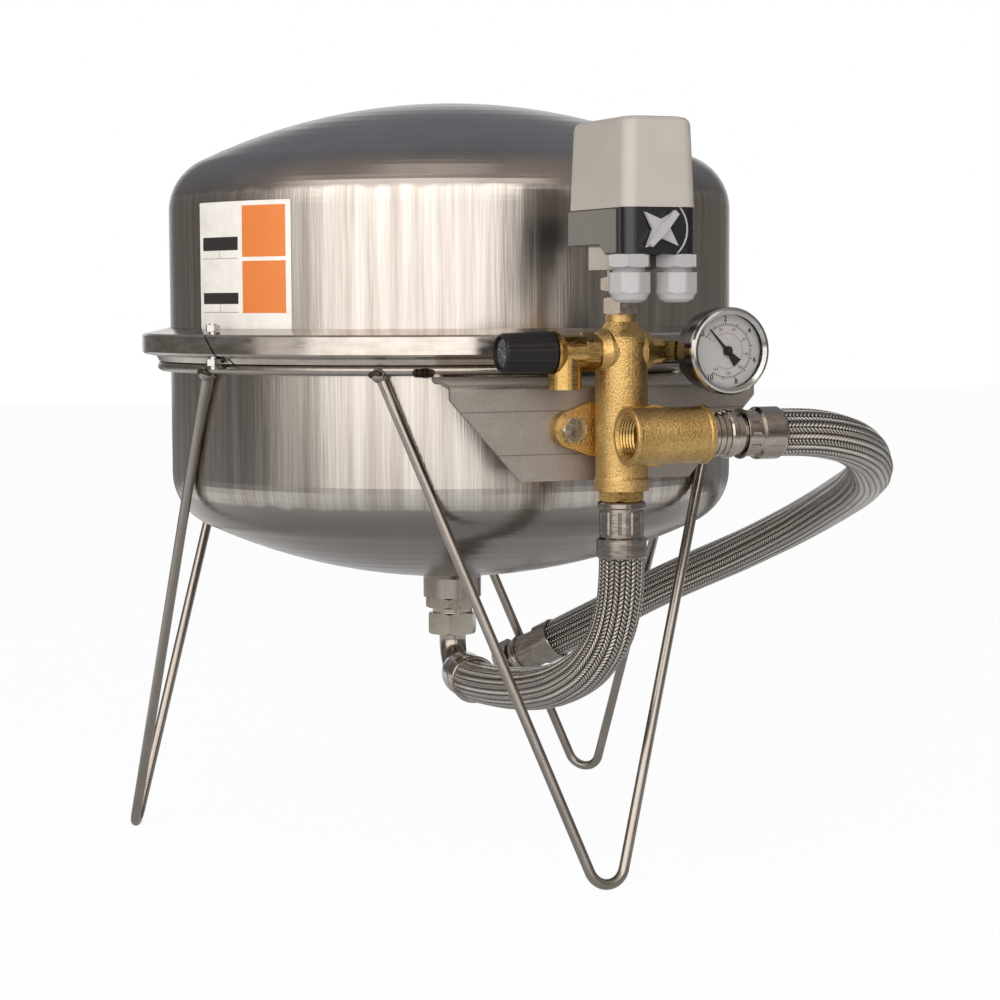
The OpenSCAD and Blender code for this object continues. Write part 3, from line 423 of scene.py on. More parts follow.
@dataclass(frozen=True)
class PrintedFilm(Finish):
    """Glossy polyester film printed with plain fields of colour, worked out from azimuth and height."""

    panels: tuple[Panel, ...] = ()

    def material(self) -> bpy.types.Material:
        """Build the material; each panel is 1 where its four sides all hold and 0 elsewhere."""
        material, tree, shader, coords = self.start()
        split = add(tree, "ShaderNodeSeparateXYZ", {0: coords})
        turn = maths(tree, "ARCTAN2", split.outputs[1], split.outputs[0])
        degrees = maths(tree, "ADD", maths(tree, "MULTIPLY", turn, 180.0 / math.pi), 360.0)
        film = blend(
            tree, spread(tree, noise(tree, coords, 14 * MM), 0.3, 0.7, 0.0, 1.0), linear("#e4e0d9"),
            linear(self.colour),
        )
        for panel in self.panels:
            sides = maths(
                tree, "MULTIPLY", maths(tree, "GREATER_THAN", degrees, panel.left),
                maths(tree, "LESS_THAN", degrees, panel.right),
            )
            ends = maths(
                tree, "MULTIPLY", maths(tree, "GREATER_THAN", split.outputs[2], panel.bottom),
                maths(tree, "LESS_THAN", split.outputs[2], panel.top),
            )
            film = blend(tree, maths(tree, "MULTIPLY", sides, ends), film, linear(panel.ink))
        tree.links.new(film, shader.inputs["Base Color"])
        bump = add(
            tree, "ShaderNodeBump",
            {"Height": noise(tree, coords, 3 * MM), "Distance": 0.03 * MM, "Strength": 0.5},
        )
        tree.links.new(bump.outputs[0], shader.inputs["Normal"])
        return material


@dataclass(frozen=True)
class Glazing(Finish):
    """Clear window of a gauge: mineral glass, polished on both faces."""

    def material(self) -> bpy.types.Material:
        """Build the material, thin enough that light passes straight through it."""
        material, tree, shader, coords = self.start()
        shader.inputs["Transmission Weight"].default_value = 1.0
        shader.inputs["IOR"].default_value = 1.46
        smear = noise(tree, coords, 9 * MM)
        tree.links.new(
            spread(tree, smear, 0.4, 0.8, self.roughness, self.roughness + 0.05), shader.inputs["Roughness"]
        )
        return material


# Surfaces


def unit(vectors: Array) -> Array:
    """Vectors divided by their own lengths, along the last axis."""
    return vectors / np.linalg.norm(vectors, axis=-1, keepdims=True)


@dataclass(frozen=True)
class Place:
    """Where a turned or swept piece sits: its origin and its three axes, in the row frame."""

    origin: Array
    x: Array
    y: Array
    z: Array

    @classmethod
    def along(
        cls, origin: tuple[float, float, float], z: tuple[float, float, float], x: tuple[float, float, float]
    ) -> Place:
        """Place with a given axis z and x squared up against it.

        Args:
            origin: Point in the row frame.
            z: Direction of the piece's own axis.
            x: Direction that the piece's x comes closest to.

        Returns:
            The place, with y = z cross x.
        """
        up = unit(np.array(z, float))
        right = np.array(x, float)
        right = unit(right - up * np.dot(right, up))
        return cls(np.array(origin, float), right, np.cross(up, right), up)

    def put(self, points: Array) -> Array:
        """Points of the piece's own axes moved into the row frame: origin + x*X + y*Y + z*Z."""
        return self.origin + points @ np.stack([self.x, self.y, self.z])


def solid(
    name: str, mesh: bpy.types.Mesh, finish: bpy.types.Material, body: str, sharp: float = 32.0
) -> bpy.types.Object:
    """Turn a mesh into a finished piece that rides on a body.

    Doubled points are merged, the faces are turned outwards, and edges sharper than the given angle
    stay crisp while the rest is shaded smooth.

    Args:
        name: Name of the piece.
        mesh: Mesh in the row frame.
        finish: Its material.
        body: CAD body that it moves with.
        sharp: Angle in degrees.

    Returns:
        The new object.
    """
    work = bmesh.new()
    work.from_mesh(mesh)
    bmesh.ops.remove_doubles(work, verts=work.verts, dist=2e-6)
    bmesh.ops.dissolve_degenerate(work, dist=1e-7, edges=work.edges)
    bmesh.ops.recalc_face_normals(work, faces=work.faces)
    work.to_mesh(mesh)
    work.free()
    mesh.shade_smooth()
    mesh.set_sharp_from_angle(angle=math.radians(sharp))
    mesh.materials.append(finish)
    piece = bpy.data.objects.new(name, mesh)
    bpy.context.scene.collection.objects.link(piece)
    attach(piece, body)
    LOG.info("%s: %d faces on %s", name, len(mesh.polygons), body)
    return piece


def lattice(
    name: str, points: Array, wrap: tuple[bool, bool] = (False, True), ends: bool = False,
    uv: Array | None = None,
) -> bpy.types.Mesh:
    """Skin a grid of points with quads.

    Point (i, j) joins (i + 1, j), (i + 1, j + 1) and (i, j + 1), with the indices taken round where the
    grid is wrapped.

    Args:
        name: Name of the mesh.
        points: Array of shape (rows, columns, 3).
        wrap: Whether rows and columns close on themselves.
        ends: Whether the first and last row are filled with one face each.
        uv: Array of shape (rows + wrap, columns + wrap, 2), or None.

    Returns:
        The mesh.
    """
    rows, columns = points.shape[:2]
    index = np.arange(rows * columns).reshape(rows, columns)
    if wrap[0]:
        index = np.vstack([index, index[:1]])
    if wrap[1]:
        index = np.hstack([index, index[:, :1]])
    quads = np.stack([index[:-1, :-1], index[1:, :-1], index[1:, 1:], index[:-1, 1:]], -1).reshape(-1, 4)
    faces = quads.tolist()
    if ends:
        faces += [np.arange(columns).tolist(), (np.arange(columns) + (rows - 1) * columns)[::-1].tolist()]
    mesh = bpy.data.meshes.new(name)
    mesh.from_pydata(points.reshape(-1, 3).tolist(), [], faces)
    if uv is not None:
        corners = np.stack([uv[:-1, :-1], uv[1:, :-1], uv[1:, 1:], uv[:-1, 1:]], 2).reshape(-1, 2)
        flat = np.zeros((len(mesh.loops), 2), np.float32)
        flat[: len(corners)] = corners
        mesh.uv_layers.new(name="hose").data.foreach_set("uv", flat.ravel())
    mesh.update()
    return mesh


def turned(
    name: str, profile: Array, place: Place, segments: int = 96, closed: bool = True
) -> bpy.types.Mesh:
    """Turn a profile round a place's axis.

    A profile point (r, h) gives (r cos t, r sin t, h) for t from 0 to a full turn.

    Args:
        name: Name of the mesh.
        profile: Array of shape (points, 2), radius and height.
        place: Where the piece sits.
        segments: Number of steps round the axis.
        closed: Whether the profile's last point joins its first.

    Returns:
        The mesh.
    """
    angle = np.arange(segments) * TAU / segments
    radius, height = profile[:, 0, None], profile[:, 1, None]
    local = np.stack([radius * np.cos(angle), radius * np.sin(angle), height + 0.0 * angle], -1)
    return lattice(name, place.put(local), (closed, True))


def spline(route: Array, count: int) -> Array:
    """Even points on one smooth curve through the route.

    Catmull-Rom on centripetal knots: on each stretch the point is a cubic blend of the two ends and of
    the tangents m = (p(i+1) - p(i-1)) / (t(i+1) - t(i-1)), then the curve is cut into equal lengths.

    Args:
        route: Array of shape (points, 3).
        count: Number of points wanted.

    Returns:
        Array of shape (count, 3).
    """
    knots = np.concatenate([[0.0], np.cumsum(np.linalg.norm(np.diff(route, axis=0), axis=1))])
    slope = np.gradient(route, knots, axis=0, edge_order=1)
    fine = np.linspace(0.0, knots[-1], 4000)
    i = np.clip(np.searchsorted(knots, fine, side="right") - 1, 0, len(knots) - 2)
    width = (knots[i + 1] - knots[i])[:, None]
    t = ((fine - knots[i])[:, None]) / width
    curve = (
        (2 * t**3 - 3 * t**2 + 1) * route[i]
        + (t**3 - 2 * t**2 + t) * width * slope[i]
        + (3 * t**2 - 2 * t**3) * route[i + 1]
        + (t**3 - t**2) * width * slope[i + 1]
    )
    run = np.concatenate([[0.0], np.cumsum(np.linalg.norm(np.diff(curve, axis=0), axis=1))])
    even = np.linspace(0.0, run[-1], count)
    return np.stack([np.interp(even, run, curve[:, k]) for k in range(3)], -1)


def length_of(path: Array) -> float:
    """Sum of the distances between neighbouring points."""
    return float(np.linalg.norm(np.diff(path, axis=0), axis=1).sum())


def tube(path: Array, radius: Array, fixed: tuple[float, float, float]) -> Array:
    """Rings of a tube along a path.

    At each point d is the direction of the path, a = d cross fixed and b = a cross d, and the ring is
    p + radius * (cos t a + sin t b).

    Args:
        path: Array of shape (rows, 3).
        radius: Array that broadcasts to (rows, columns).
        fixed: Direction that the rings are set against, never along the path.

    Returns:
        Array of shape (rows, columns, 3).
    """
    columns = radius.shape[1]
    d = unit(np.gradient(path, axis=0))
    a = unit(np.cross(d, np.array(fixed, float)))
    b = np.cross(a, d)
    t = np.arange(columns) * TAU / columns
    ring = np.cos(t)[None, :, None] * a[:, None] + np.sin(t)[None, :, None] * b[:, None]
    return path[:, None] + radius[..., None] * ring


def thread(
    name: str, place: Place, mean: float, depth: float, pitch: float, start: float, stop: float, wall: float
) -> bpy.types.Mesh:
    """Liner with a pipe thread on its inside.

    Its inner radius is mean + depth / 2 * s(h / pitch - t / turn), with s a rounded triangle wave, and its
    outside is a plain cylinder that sits in the bore's wall.

    Args:
        name: Name of the mesh.
        place: Axis of the bore.
        mean: Mean radius of the thread.
        depth: Depth from crest to root.
        pitch: Distance between crests.
        start: Height of its first end.
        stop: Height of its last end.
        wall: Outer radius of the liner.

    Returns:
        The mesh.
    """
    turns = np.arange(72) / 72.0
    height = np.linspace(start, stop, int(round((stop - start) / pitch * 10)) + 1)
    phase = height[:, None] / pitch - turns[None, :]
    wave = np.arcsin(0.96 * np.sin(TAU * phase)) / (math.pi / 2)
    inner = mean + 0.5 * depth * wave
    outer = np.full((2, 72), wall)
    radius = np.vstack([inner, outer])
    level = np.concatenate([height, [stop, start]])[:, None] + 0.0 * turns
    angle = turns * TAU
    local = np.stack([radius * np.cos(angle), radius * np.sin(angle), level], -1)
    return lattice(name, place.put(local), (True, True))


def bead(
    name: str, path: Array, radius: float, fixed: tuple[float, float, float], seed: int
) -> bpy.types.Mesh:
    """Weld bead: a lumpy tube with a ripple each 1.4 mm and ends that close.

    Its radius is radius * (1 + 0.10 sin(2 pi s / 1.4 mm) + 0.12 n) * sqrt(1 - (2 s / L - 1)^6), with n a
    seeded noise along its length s.

    Args:
        name: Name of the mesh.
        path: Array of shape (points, 3).
        radius: Mean radius.
        fixed: Direction that is never along the path.
        seed: Seed of the noise.

    Returns:
        The mesh.
    """
    rows, columns = 40, 14
    line = spline(path, rows)
    s = np.linspace(0.0, 1.0, rows)[:, None]
    total = length_of(line)
    rng = np.random.default_rng(seed)
    lump = np.interp(s[:, 0], np.linspace(0, 1, 9), rng.uniform(-1, 1, 9))[:, None]
    taper = np.sqrt(np.clip(1.0 - (2.0 * s - 1.0) ** 6, 0.02, 1.0))
    r = radius * (1 + 0.10 * np.sin(TAU * s * total / (1.4 * MM)) + 0.12 * lump) * taper
    return lattice(name, tube(line, r + np.zeros((rows, columns)), fixed), (False, True), ends=True)


def lettering(text: str, height: float, place: Place, lift: float) -> Array:
    """Flat outline mesh of a number, as triangles ready to print on a face.

    Args:
        text: Digits to draw.
        height: Height of the digits.
        place: Centre and axes of the number.
        lift: Distance above the face.

    Returns:
        Vertices of shape (points, 3) and triangles, in one tuple.
    """
    curve = bpy.data.curves.new("digits", "FONT")
    curve.body, curve.size = text, height * 1.38
    curve.offset = height * 0.035
    curve.align_x, curve.align_y = "CENTER", "CENTER"
    holder = bpy.data.objects.new("digits", curve)
    flat = bpy.data.meshes.new_from_object(holder)
    points = np.zeros(len(flat.vertices) * 3, np.float32)
    flat.vertices.foreach_get("co", points)
    points = points.reshape(-1, 3).astype(float)
    points[:, 2] += lift
    faces = [list(p.vertices) for p in flat.polygons]
    bpy.data.objects.remove(holder)
    bpy.data.curves.remove(curve)
    bpy.data.meshes.remove(flat)
    return place.put(points), faces


def dress(frame: dict, finish: bpy.types.Material, *nodes: str) -> None:
    """Give CAD nodes a finish through their own material slots.

    Args:
        finish: The material.
        nodes: Names of the CAD nodes.
    """
    for name in nodes:
        frame["nodes"][name].material_slots[0].material = finish
        LOG.info("%s: %s", name, finish.name)


# Finishes of this tank


@dataclass
class Palette:
    """Every finish of the tank, made once and shared by the pieces."""

    made: dict[str, bpy.types.Material] = field(default_factory=dict)

    def recipes(self) -> tuple[Finish, ...]:
        """Finishes with typical values for each material, matched to the object."""
        label = (
            # plain colour fields and empty ruled boxes, with nothing written in them
            Panel(204.9, 215.8, 472.2 * MM, 511.0 * MM, "#dd7f3d"),
            Panel(204.9, 215.8, 429.8 * MM, 469.2 * MM, "#dd7f3d"),
            Panel(192.2, 203.7, 477.5 * MM, 487.7 * MM, "#2e2c2b"),
            Panel(192.2, 203.7, 436.7 * MM, 445.3 * MM, "#2e2c2b"),
            Panel(192.2, 203.7, 471.2 * MM, 471.6 * MM, "#6f6c68"),
            Panel(192.2, 203.7, 430.2 * MM, 430.6 * MM, "#6f6c68"),
            Panel(198.0, 198.12, 430.2 * MM, 436.7 * MM, "#6f6c68"),
            Panel(198.0, 198.12, 471.2 * MM, 477.5 * MM, "#6f6c68"),
        )
        return (
            # deep-drawn ferritic steel: mid grey with a warm cast, streaked upright by the belt
            PolishedShell("Belt polished shell steel", "#cbc5bf", 0.25, "#a39c96", 288 * MM, 525 * MM),
            # rolled clamp band, polished brighter than the shell
            Metal("Polished band steel", "#cbc4bc", 0.20, "#a59d95", Grain.TURNED, 5 * MM, 0.05 * MM),
            # cold-drawn rod: satin, with fine lines along it
            Metal("Drawn rod steel", "#aba49d", 0.26, "#9b938b", Grain.DRAWN, 7 * MM, 0.004 * MM),
            # mill-finish sheet: flat grey, streaked along the roll, with painted shade along two bend lines
            ScribedSheet(
                "Mill finish sheet steel", "#b8b1aa", 0.50, "#9a938c", Grain.CAST, 2 * MM, 0.06 * MM,
                lines=(359.5 * MM, 328.5 * MM),
            ),
            # zinc-plated bolts: bluish, slightly milky
            Metal("Bright zinc plating", "#c9c8c6", 0.24, "#aaa7a4", Grain.PLATED, 4 * MM, 0.03 * MM),
            # nickel over brass: warm, bright, soft reflections
            Metal("Nickel plating over brass", "#c2b9ae", 0.17, "#a79e91", Grain.PLATED, 5 * MM, 0.02 * MM),
            # sand-cast brass, tumbled: golden with a rough grain of about 1 mm
            Metal("Sand cast brass", "#dab97a", 0.33, "#a8834c", Grain.CAST, 1.5 * MM, 0.75 * MM, 12 * MM),
            # turned brass: smoother and a little redder, with rings from the tool
            Metal("Turned brass", "#cdac6c", 0.24, "#a48148", Grain.TURNED, 1.2 * MM, 0.04 * MM),
            # crimped ferrule: drawn tube, polished
            Metal("Crimped ferrule steel", "#b5aca4", 0.17, "#91887f", Grain.TURNED, 2 * MM, 0.02 * MM),
            # weld bead: heat-tinted, dark and glassy
            Metal("Weld bead steel", "#5d534a", 0.38, "#2f2a27", Grain.PLATED, 1.6 * MM, 0.2 * MM, 5 * MM),
            LacqueredRim(
                "Chromed bezel steel", "#bfbdba", 0.15, "#a19f9b", Grain.TURNED, 4 * MM, 0.02 * MM,
                depth_y=-356.5 * MM,
            ),
            # bright-drawn tube of the elbow, polished by hand
            Metal("Polished tube steel", "#b3aba3", 0.17, "#948b82", Grain.PLATED, 3 * MM, 0.02 * MM),
            # zinc flake lacquer on the disc in the relief cap
            Metal("Flaked grey disc", "#c3c3c5", 0.35, "#3a3b3e", Grain.CAST, 1.6 * MM, 0.6 * MM, 2 * MM),
            # the dark second colour is painted shade in the braid's gaps
            Braid("Braided stainless wire", "#d4ccc3", 0.15, "#2a2622", 24, 2.9 * MM),
            # ABS cover: light warm grey, soft sheen
            Moulding("Warm grey ABS cover", "#b5aea6", 0.42, 0.7 * MM, 0.03 * MM),
            # phenolic base: black with a greasy shine
            Moulding("Black phenolic base", "#17161a", 0.26, 0.9 * MM, 0.05 * MM, 0.6),
            Moulding("Ribbed black cap plastic", "#1d1b1b", 0.38, 0.6 * MM, 0.04 * MM, 0.3),
            # polyamide glands and knob: light grey, slightly bluish
            Moulding("Light grey polyamide", "#aeacad", 0.24, 0.6 * MM, 0.02 * MM),
            Moulding("Grey coated plate", "#77736e", 0.45, 0.5 * MM, 0.02 * MM),
            Moulding("Black rubber", "#1b1a1a", 0.6, 0.8 * MM, 0.05 * MM, 0.4),
            # baked dial enamel: off-white with a pink cast
            Moulding("Dial enamel", "#fcf5f3", 0.5, 0.4 * MM, 0.01 * MM),
            Moulding("Black dial ink", "#131216", 0.5, 0.3 * MM, 0.01 * MM),
            Moulding("Faded red dial ink", "#b98a8c", 0.5, 0.3 * MM, 0.01 * MM),
            PrintedFilm("Printed polyester film", "#f1eee8", 0.32, label),
            Glazing("Mineral gauge glass", "#f4f6f6", 0.02),
        )

    def make(self) -> None:
        """Build every material."""
        for finish in self.recipes():
            self.made[finish.name] = finish.material()
            LOG.info("finish %s", finish.name)

    def __getitem__(self, name: str) -> bpy.types.Material:
        """The material with that name."""
        return self.made[name]


# Studio


@dataclass
class Studio:
    """Camera at the photograph's place, a pale floor, a white surround and soft lamps."""

    eye: tuple[float, float, float] = (-0.7693, -1.9041, 0.4355)
    yaw: float = 0.0196
    pitch: float = 0.0790
    roll: float = -0.0051
    turn: float = math.radians(22.0)
    lens: float = 89.0

    def camera(self) -> None:
        """Make the camera.

        Its axes are worked out with the object turned 22 degrees: forward (sin y cos p, cos y cos p,
        -sin p), right (cos y, -sin y, 0), up = right x forward, then rolled and turned back.
        """
        forward = np.array(
            [
                math.sin(self.yaw) * math.cos(self.pitch),
                math.cos(self.yaw) * math.cos(self.pitch),
                -math.sin(self.pitch),
            ]
        )
        right = np.array([math.cos(self.yaw), -math.sin(self.yaw), 0.0])
        up = np.cross(right, forward)
        level = right * math.cos(self.roll) + up * math.sin(self.roll)
        upright = -right * math.sin(self.roll) + up * math.cos(self.roll)
        c, s = math.cos(self.turn), math.sin(self.turn)
        back = np.array([[c, s, 0.0], [-s, c, 0.0], [0.0, 0.0, 1.0]])
        axes = np.stack([back @ level, back @ upright, back @ -forward], 1)
        pose = np.eye(4)
        pose[:3, :3], pose[:3, 3] = axes, self.eye
        data = bpy.data.cameras.new("camera")
        data.lens, data.sensor_width, data.clip_end = self.lens, 36.0, 50.0
        camera = bpy.data.objects.new("camera", data)
        camera.matrix_world = Matrix(pose.tolist())
        bpy.context.scene.collection.objects.link(camera)
        bpy.context.scene.camera = camera
        LOG.info("camera: %.1f mm lens", self.lens)

    def seen(self, tree: bpy.types.NodeTree) -> bpy.types.NodeSocket:
        """1 for rays from the camera, a gloss or a window, 0 for the rest."""
        path = add(tree, "ShaderNodeLightPath")
        any_ray = maths(tree, "MAXIMUM", path.outputs["Is Camera Ray"], path.outputs["Is Glossy Ray"])
        return maths(tree, "MAXIMUM", any_ray, path.outputs["Is Transmission Ray"])

    def surround(self) -> None:
        """White backdrop behind the object, with the room's grey walls and ceiling on its other sides.

        The eye sees 1 everywhere. A gloss or a window sees 1 where its ray runs within 20 degrees of the
        camera's own direction, which is the backdrop, and the room's level elsewhere. Matt surfaces are
        lit by the room's ambient level.
        """
        world = bpy.data.worlds.new("surround")
        bpy.context.scene.world = world
        world.use_nodes = True
        tree = world.node_tree
        path = add(tree, "ShaderNodeLightPath")
        shown = self.seen(tree)
        direction = add(tree, "ShaderNodeTexCoord").outputs["Generated"]
        forward = (-self.eye[0], -self.eye[1], 0.0)
        ahead = unit(np.array(forward)).tolist()
        facing = add(
            tree, "ShaderNodeVectorMath", {0: direction, 1: ahead}, operation="DOT_PRODUCT"
        ).outputs[1]
        backdrop = spread(tree, facing, math.cos(math.radians(21.0)), math.cos(math.radians(19.0)), 0.0, 1.0)
        white = maths(
            tree, "MULTIPLY", shown, maths(tree, "MAXIMUM", path.outputs["Is Camera Ray"], backdrop)
        )
        height = add(tree, "ShaderNodeSeparateXYZ", {0: direction}).outputs[2]
        ceiling = spread(tree, height, 0.10, 0.60, 0.0, 1.0)
        far = spread(tree, facing, -0.2, 0.5, 0.0, 1.0)
        above = blend(tree, far, (0.47, 0.42, 0.385, 1.0), (0.27, 0.29, 0.335, 1.0))
        wall = blend(tree, ceiling, (0.17, 0.155, 0.145, 1.0), above)
        ambient = (0.36, 0.36, 0.37, 1.0)
        room = blend(tree, shown, ambient, wall)
        ground = tree.nodes["Background"]
        tree.links.new(blend(tree, white, room, (1.0, 1.0, 1.0, 1.0)), ground.inputs[0])
        ground.inputs[1].default_value = 1.0

    def floor(self) -> None:
        """Pale floor that keeps the object's shadow: mostly white to the eye, plain card underneath."""
        mesh = bpy.data.meshes.new("floor")
        mesh.from_pydata(
            [(-9, -9, -0.0006), (9, -9, -0.0006), (9, 9, -0.0006), (-9, 9, -0.0006)], [], [(0, 1, 2, 3)]
        )
        material = bpy.data.materials.new("Pale studio card")
        material.use_nodes = True
        tree = material.node_tree
        card = tree.nodes["Principled BSDF"]
        coords = add(tree, "ShaderNodeTexCoord").outputs["Object"]
        cloud = spread(tree, noise(tree, coords, 0.4), 0.3, 0.7, 0.0, 1.0)
        tree.links.new(blend(tree, cloud, linear("#f3f2f0"), linear("#f7f6f5")), card.inputs["Base Color"])
        card.inputs["Roughness"].default_value = 0.85
        card.inputs["Specular IOR Level"].default_value = 0.1
        # a gloss sees the card darker under the object, a painted shadow in the card's glow, and darker where
        # the card ends
        path = add(tree, "ShaderNodeLightPath")
        reach = add(tree, "ShaderNodeVectorMath", {0: coords}, operation="LENGTH").outputs[1]
        near = spread(tree, reach, 0.30, 0.95, 0.46, 0.90)
        far = spread(tree, reach, 1.2, 2.2, 1.0, 0.25)
        level = maths(tree, "MAXIMUM", path.outputs["Is Camera Ray"], maths(tree, "MULTIPLY", near, far))
        glow = add(tree, "ShaderNodeEmission", {0: (1.0, 1.0, 1.0, 1.0), 1: level})
        share = maths(tree, "MULTIPLY", self.seen(tree), 0.96)
        mixed = add(tree, "ShaderNodeMixShader", {0: share, 1: card.outputs[0], 2: glow.outputs[0]})
        tree.links.new(mixed.outputs[0], tree.nodes["Material Output"].inputs[0])
        mesh.materials.append(material)
        sheet = bpy.data.objects.new("floor", mesh)
        bpy.context.scene.collection.objects.link(sheet)

    def lamp(
        self, name: str, azimuth: float, height: float, distance: float, width: float, tall: float,
        level: float, colour: str, lights: bool = True,
    ) -> None:
        """Soft box aimed at the tank's middle.

        Its power is level * pi * width * tall, so that level is how bright its face looks.

        Args:
            name: Name of the lamp.
            azimuth: Direction in degrees from the camera's side, positive to the right.
            height: Height above the floor.
            distance: Distance from the tank's axis.
            width: Width of its face.
            tall: Height of its face.
            level: Brightness of its face.
            colour: Colour of its light.
            lights: Whether it also lights matt surfaces.
        """
        data = bpy.data.lights.new(name, "AREA")
        data.shape, data.size, data.size_y = "RECTANGLE", width, tall
        data.energy = level * math.pi * width * tall
        data.color = linear(colour)[:3]
        turn = math.atan2(self.eye[1], self.eye[0]) + math.radians(azimuth)
        spot = np.array([distance * math.cos(turn), distance * math.sin(turn), height])
        away = unit(spot - np.array([0.0, 0.0, 0.36]))
        right = unit(np.cross(np.array([0.0, 0.0, 1.0]), away))
        pose = np.eye(4)
        pose[:3, :3], pose[:3, 3] = np.stack([right, np.cross(away, right), away], 1), spot
        lamp = bpy.data.objects.new(name, data)
        lamp.matrix_world = Matrix(pose.tolist())
        lamp.visible_camera = False
        lamp.visible_diffuse = lights
        bpy.context.scene.collection.objects.link(lamp)

    def build(self) -> None:
        """Make the whole studio."""
        bpy.context.scene.view_settings.view_transform = "Standard"
        self.camera()
        self.surround()
        self.floor()
        self.lamp("front box", -15.0, 1.22, 2.4, 3.9, 2.44, 1.95, "#fffcf9")
        self.lamp("left box", -62.0, 1.20, 2.5, 0.9, 2.2, 0.85, "#fff9f3")
        self.lamp("right box", 33.0, 1.20, 2.5, 0.7, 2.2, 1.2, "#fff9f3")
        self.lamp("top box", -10.0, 2.90, 1.2, 1.6, 1.0, 0.6, "#fff9f3")


# Hoses


@dataclass
class Hose:
    """One braided hose on its given route."""

    node: str
    route: tuple[tuple[float, float, float], ...]
    diameter: float
    fixed: tuple[float, float, float]
    far_end: str
    fittings: tuple[str, ...]

    def centreline(self, count: int) -> Array:
        """Even points on the route's curve, in metres."""
        return spline(np.array(self.route) * MM, count)

    def build(self, palette: Palette) -> None:
        """The radius is D / 2 - 0.25 mm + 0.25 mm * cos(12 t) * g(s), a bundle of soft ridges that the braid
        shows where it is bent, with g rising from 0 at both ends over 40 mm.

        Args:
            palette: The finishes.
        """
        fine = self.centreline(600)
        total = length_of(fine)
        rows = int(total / (2.2 * MM))
        path = self.centreline(rows)
        run = np.linspace(0.0, total, rows)[:, None]
        turn = np.linspace(0.0, TAU, 96, endpoint=False)[None, :]
        ends = np.clip(np.minimum(run, total - run) / (40 * MM), 0.0, 1.0)
        radius = self.diameter / 2 - 0.25 * MM + 0.25 * MM * np.cos(12 * turn) * ends
        points = tube(path, radius, self.fixed)
        uv = np.stack(np.broadcast_arrays(np.linspace(0.0, 1.0, 97)[None, :], run), -1)
        mesh = lattice(self.node + "_braid", points, (False, True), ends=True, uv=uv)
        piece = solid(self.node + "_braid", mesh, palette["Braided stainless wire"], "tank", 60.0)
        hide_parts(self.node)
        line = self.centreline(38)
        list(self.fittings)
        LOG.info("%s: %.0f mm long", self.node, total / MM)


@dataclass
class Hoses:
    """Both hoses with their crimped fittings."""

    feed: tuple[tuple[float, float, float], ...] = (
        (0, -323, 267), (0, -323, 248), (-0.5, -320.5, 224), (-2, -311, 200), (-5, -290, 177.5),
        (-8.5, -253, 158), (-12, -208, 145.5), (-15, -163, 139), (-16, -120, 135.5), (-14.6, -83, 134),
        (-8.8, -50.2, 134),
    )
    supply: tuple[tuple[float, float, float], ...] = (
        (94, -358, 343.3), (112, -358, 343.3), (131, -357, 342.6), (164, -348, 337.3), (193, -330, 328),
        (215, -306, 316.7), (233, -278, 306.4), (247, -247, 297.7), (259, -215, 289.3), (267, -183, 280.3),
        (273, -150, 270.2), (275, -117, 258.7), (272, -85, 246), (266, -53, 233), (257, -22, 219.9),
        (244, 8, 206.6), (229, 36, 193), (213, 63, 178.2), (196, 89, 162.4), (178, 115, 146.7),
        (160, 140.3, 131.3), (153.8, 149, 126),
    )

    def end_band(self, palette: Palette) -> None:
        """Crimped band over the braid at the elbow, with twelve flats and a rolled lip.

        Its radius is R - 0.45 mm * (1 + cos(12 t)) / 2 between its two round ends.

        Args:
            palette: The finishes.
        """
        start, ahead = np.array([-10.94, -62.3, 134.0]) * MM, (-0.135, -0.991, 0.0)
        turns = np.arange(96) / 96.0
        height = np.array([0.0, 0.0, 1.0, 3.0, 12.5, 14.5, 15.0, 16.0, 17.4, 18.0, 18.0, 0.0]) * MM
        outer = np.array([16.7, 17.6, 18.1, 18.1, 18.1, 18.1, 18.9, 19.2, 19.0, 18.3, 16.7, 16.7]) * MM
        fluted = np.array([0, 0, 0, 1, 1, 0, 0, 0, 0, 0, 0, 0])
        flute = 0.45 * MM * (1 + np.cos(12 * TAU * turns)) / 2
        radius = outer[:, None] - fluted[:, None] * flute[None, :]
        level = height[:, None] + 0.0 * turns
        local = np.stack([radius * np.cos(turns * TAU), radius * np.sin(turns * TAU), level], -1)
        mesh = lattice("feed_end_band", Place.along(tuple(start), ahead, (0, 0, 1)).put(local), (True, True))
        solid("feed_end_band", mesh, palette["Crimped ferrule steel"], "tank", 28.0)

    def build(self, frame: dict, palette: Palette) -> None:
        """Build both hoses and dress their fittings."""
        Hose(
            "feed_hose", self.feed, 33 * MM, (1.0, 0.0, 0.0), "object", ("feed_ferrule", "feed_end_ferrule")
        ).build(palette)
        Hose(
            "supply_hose", self.supply, 34.5 * MM, (0.0, 0.0, 1.0), "fitting",
            ("supply_ferrule", "supply_end_ferrule", "supply_end_nut"),
        ).build(palette)
        self.end_band(palette)
        dress(
            frame, palette["Crimped ferrule steel"], "feed_ferrule", "feed_end_ferrule", "supply_ferrule",
            "supply_end_ferrule",
        )
        dress(frame, palette["Nickel plating over brass"], "supply_nipple", "supply_end_nut")


# Tank


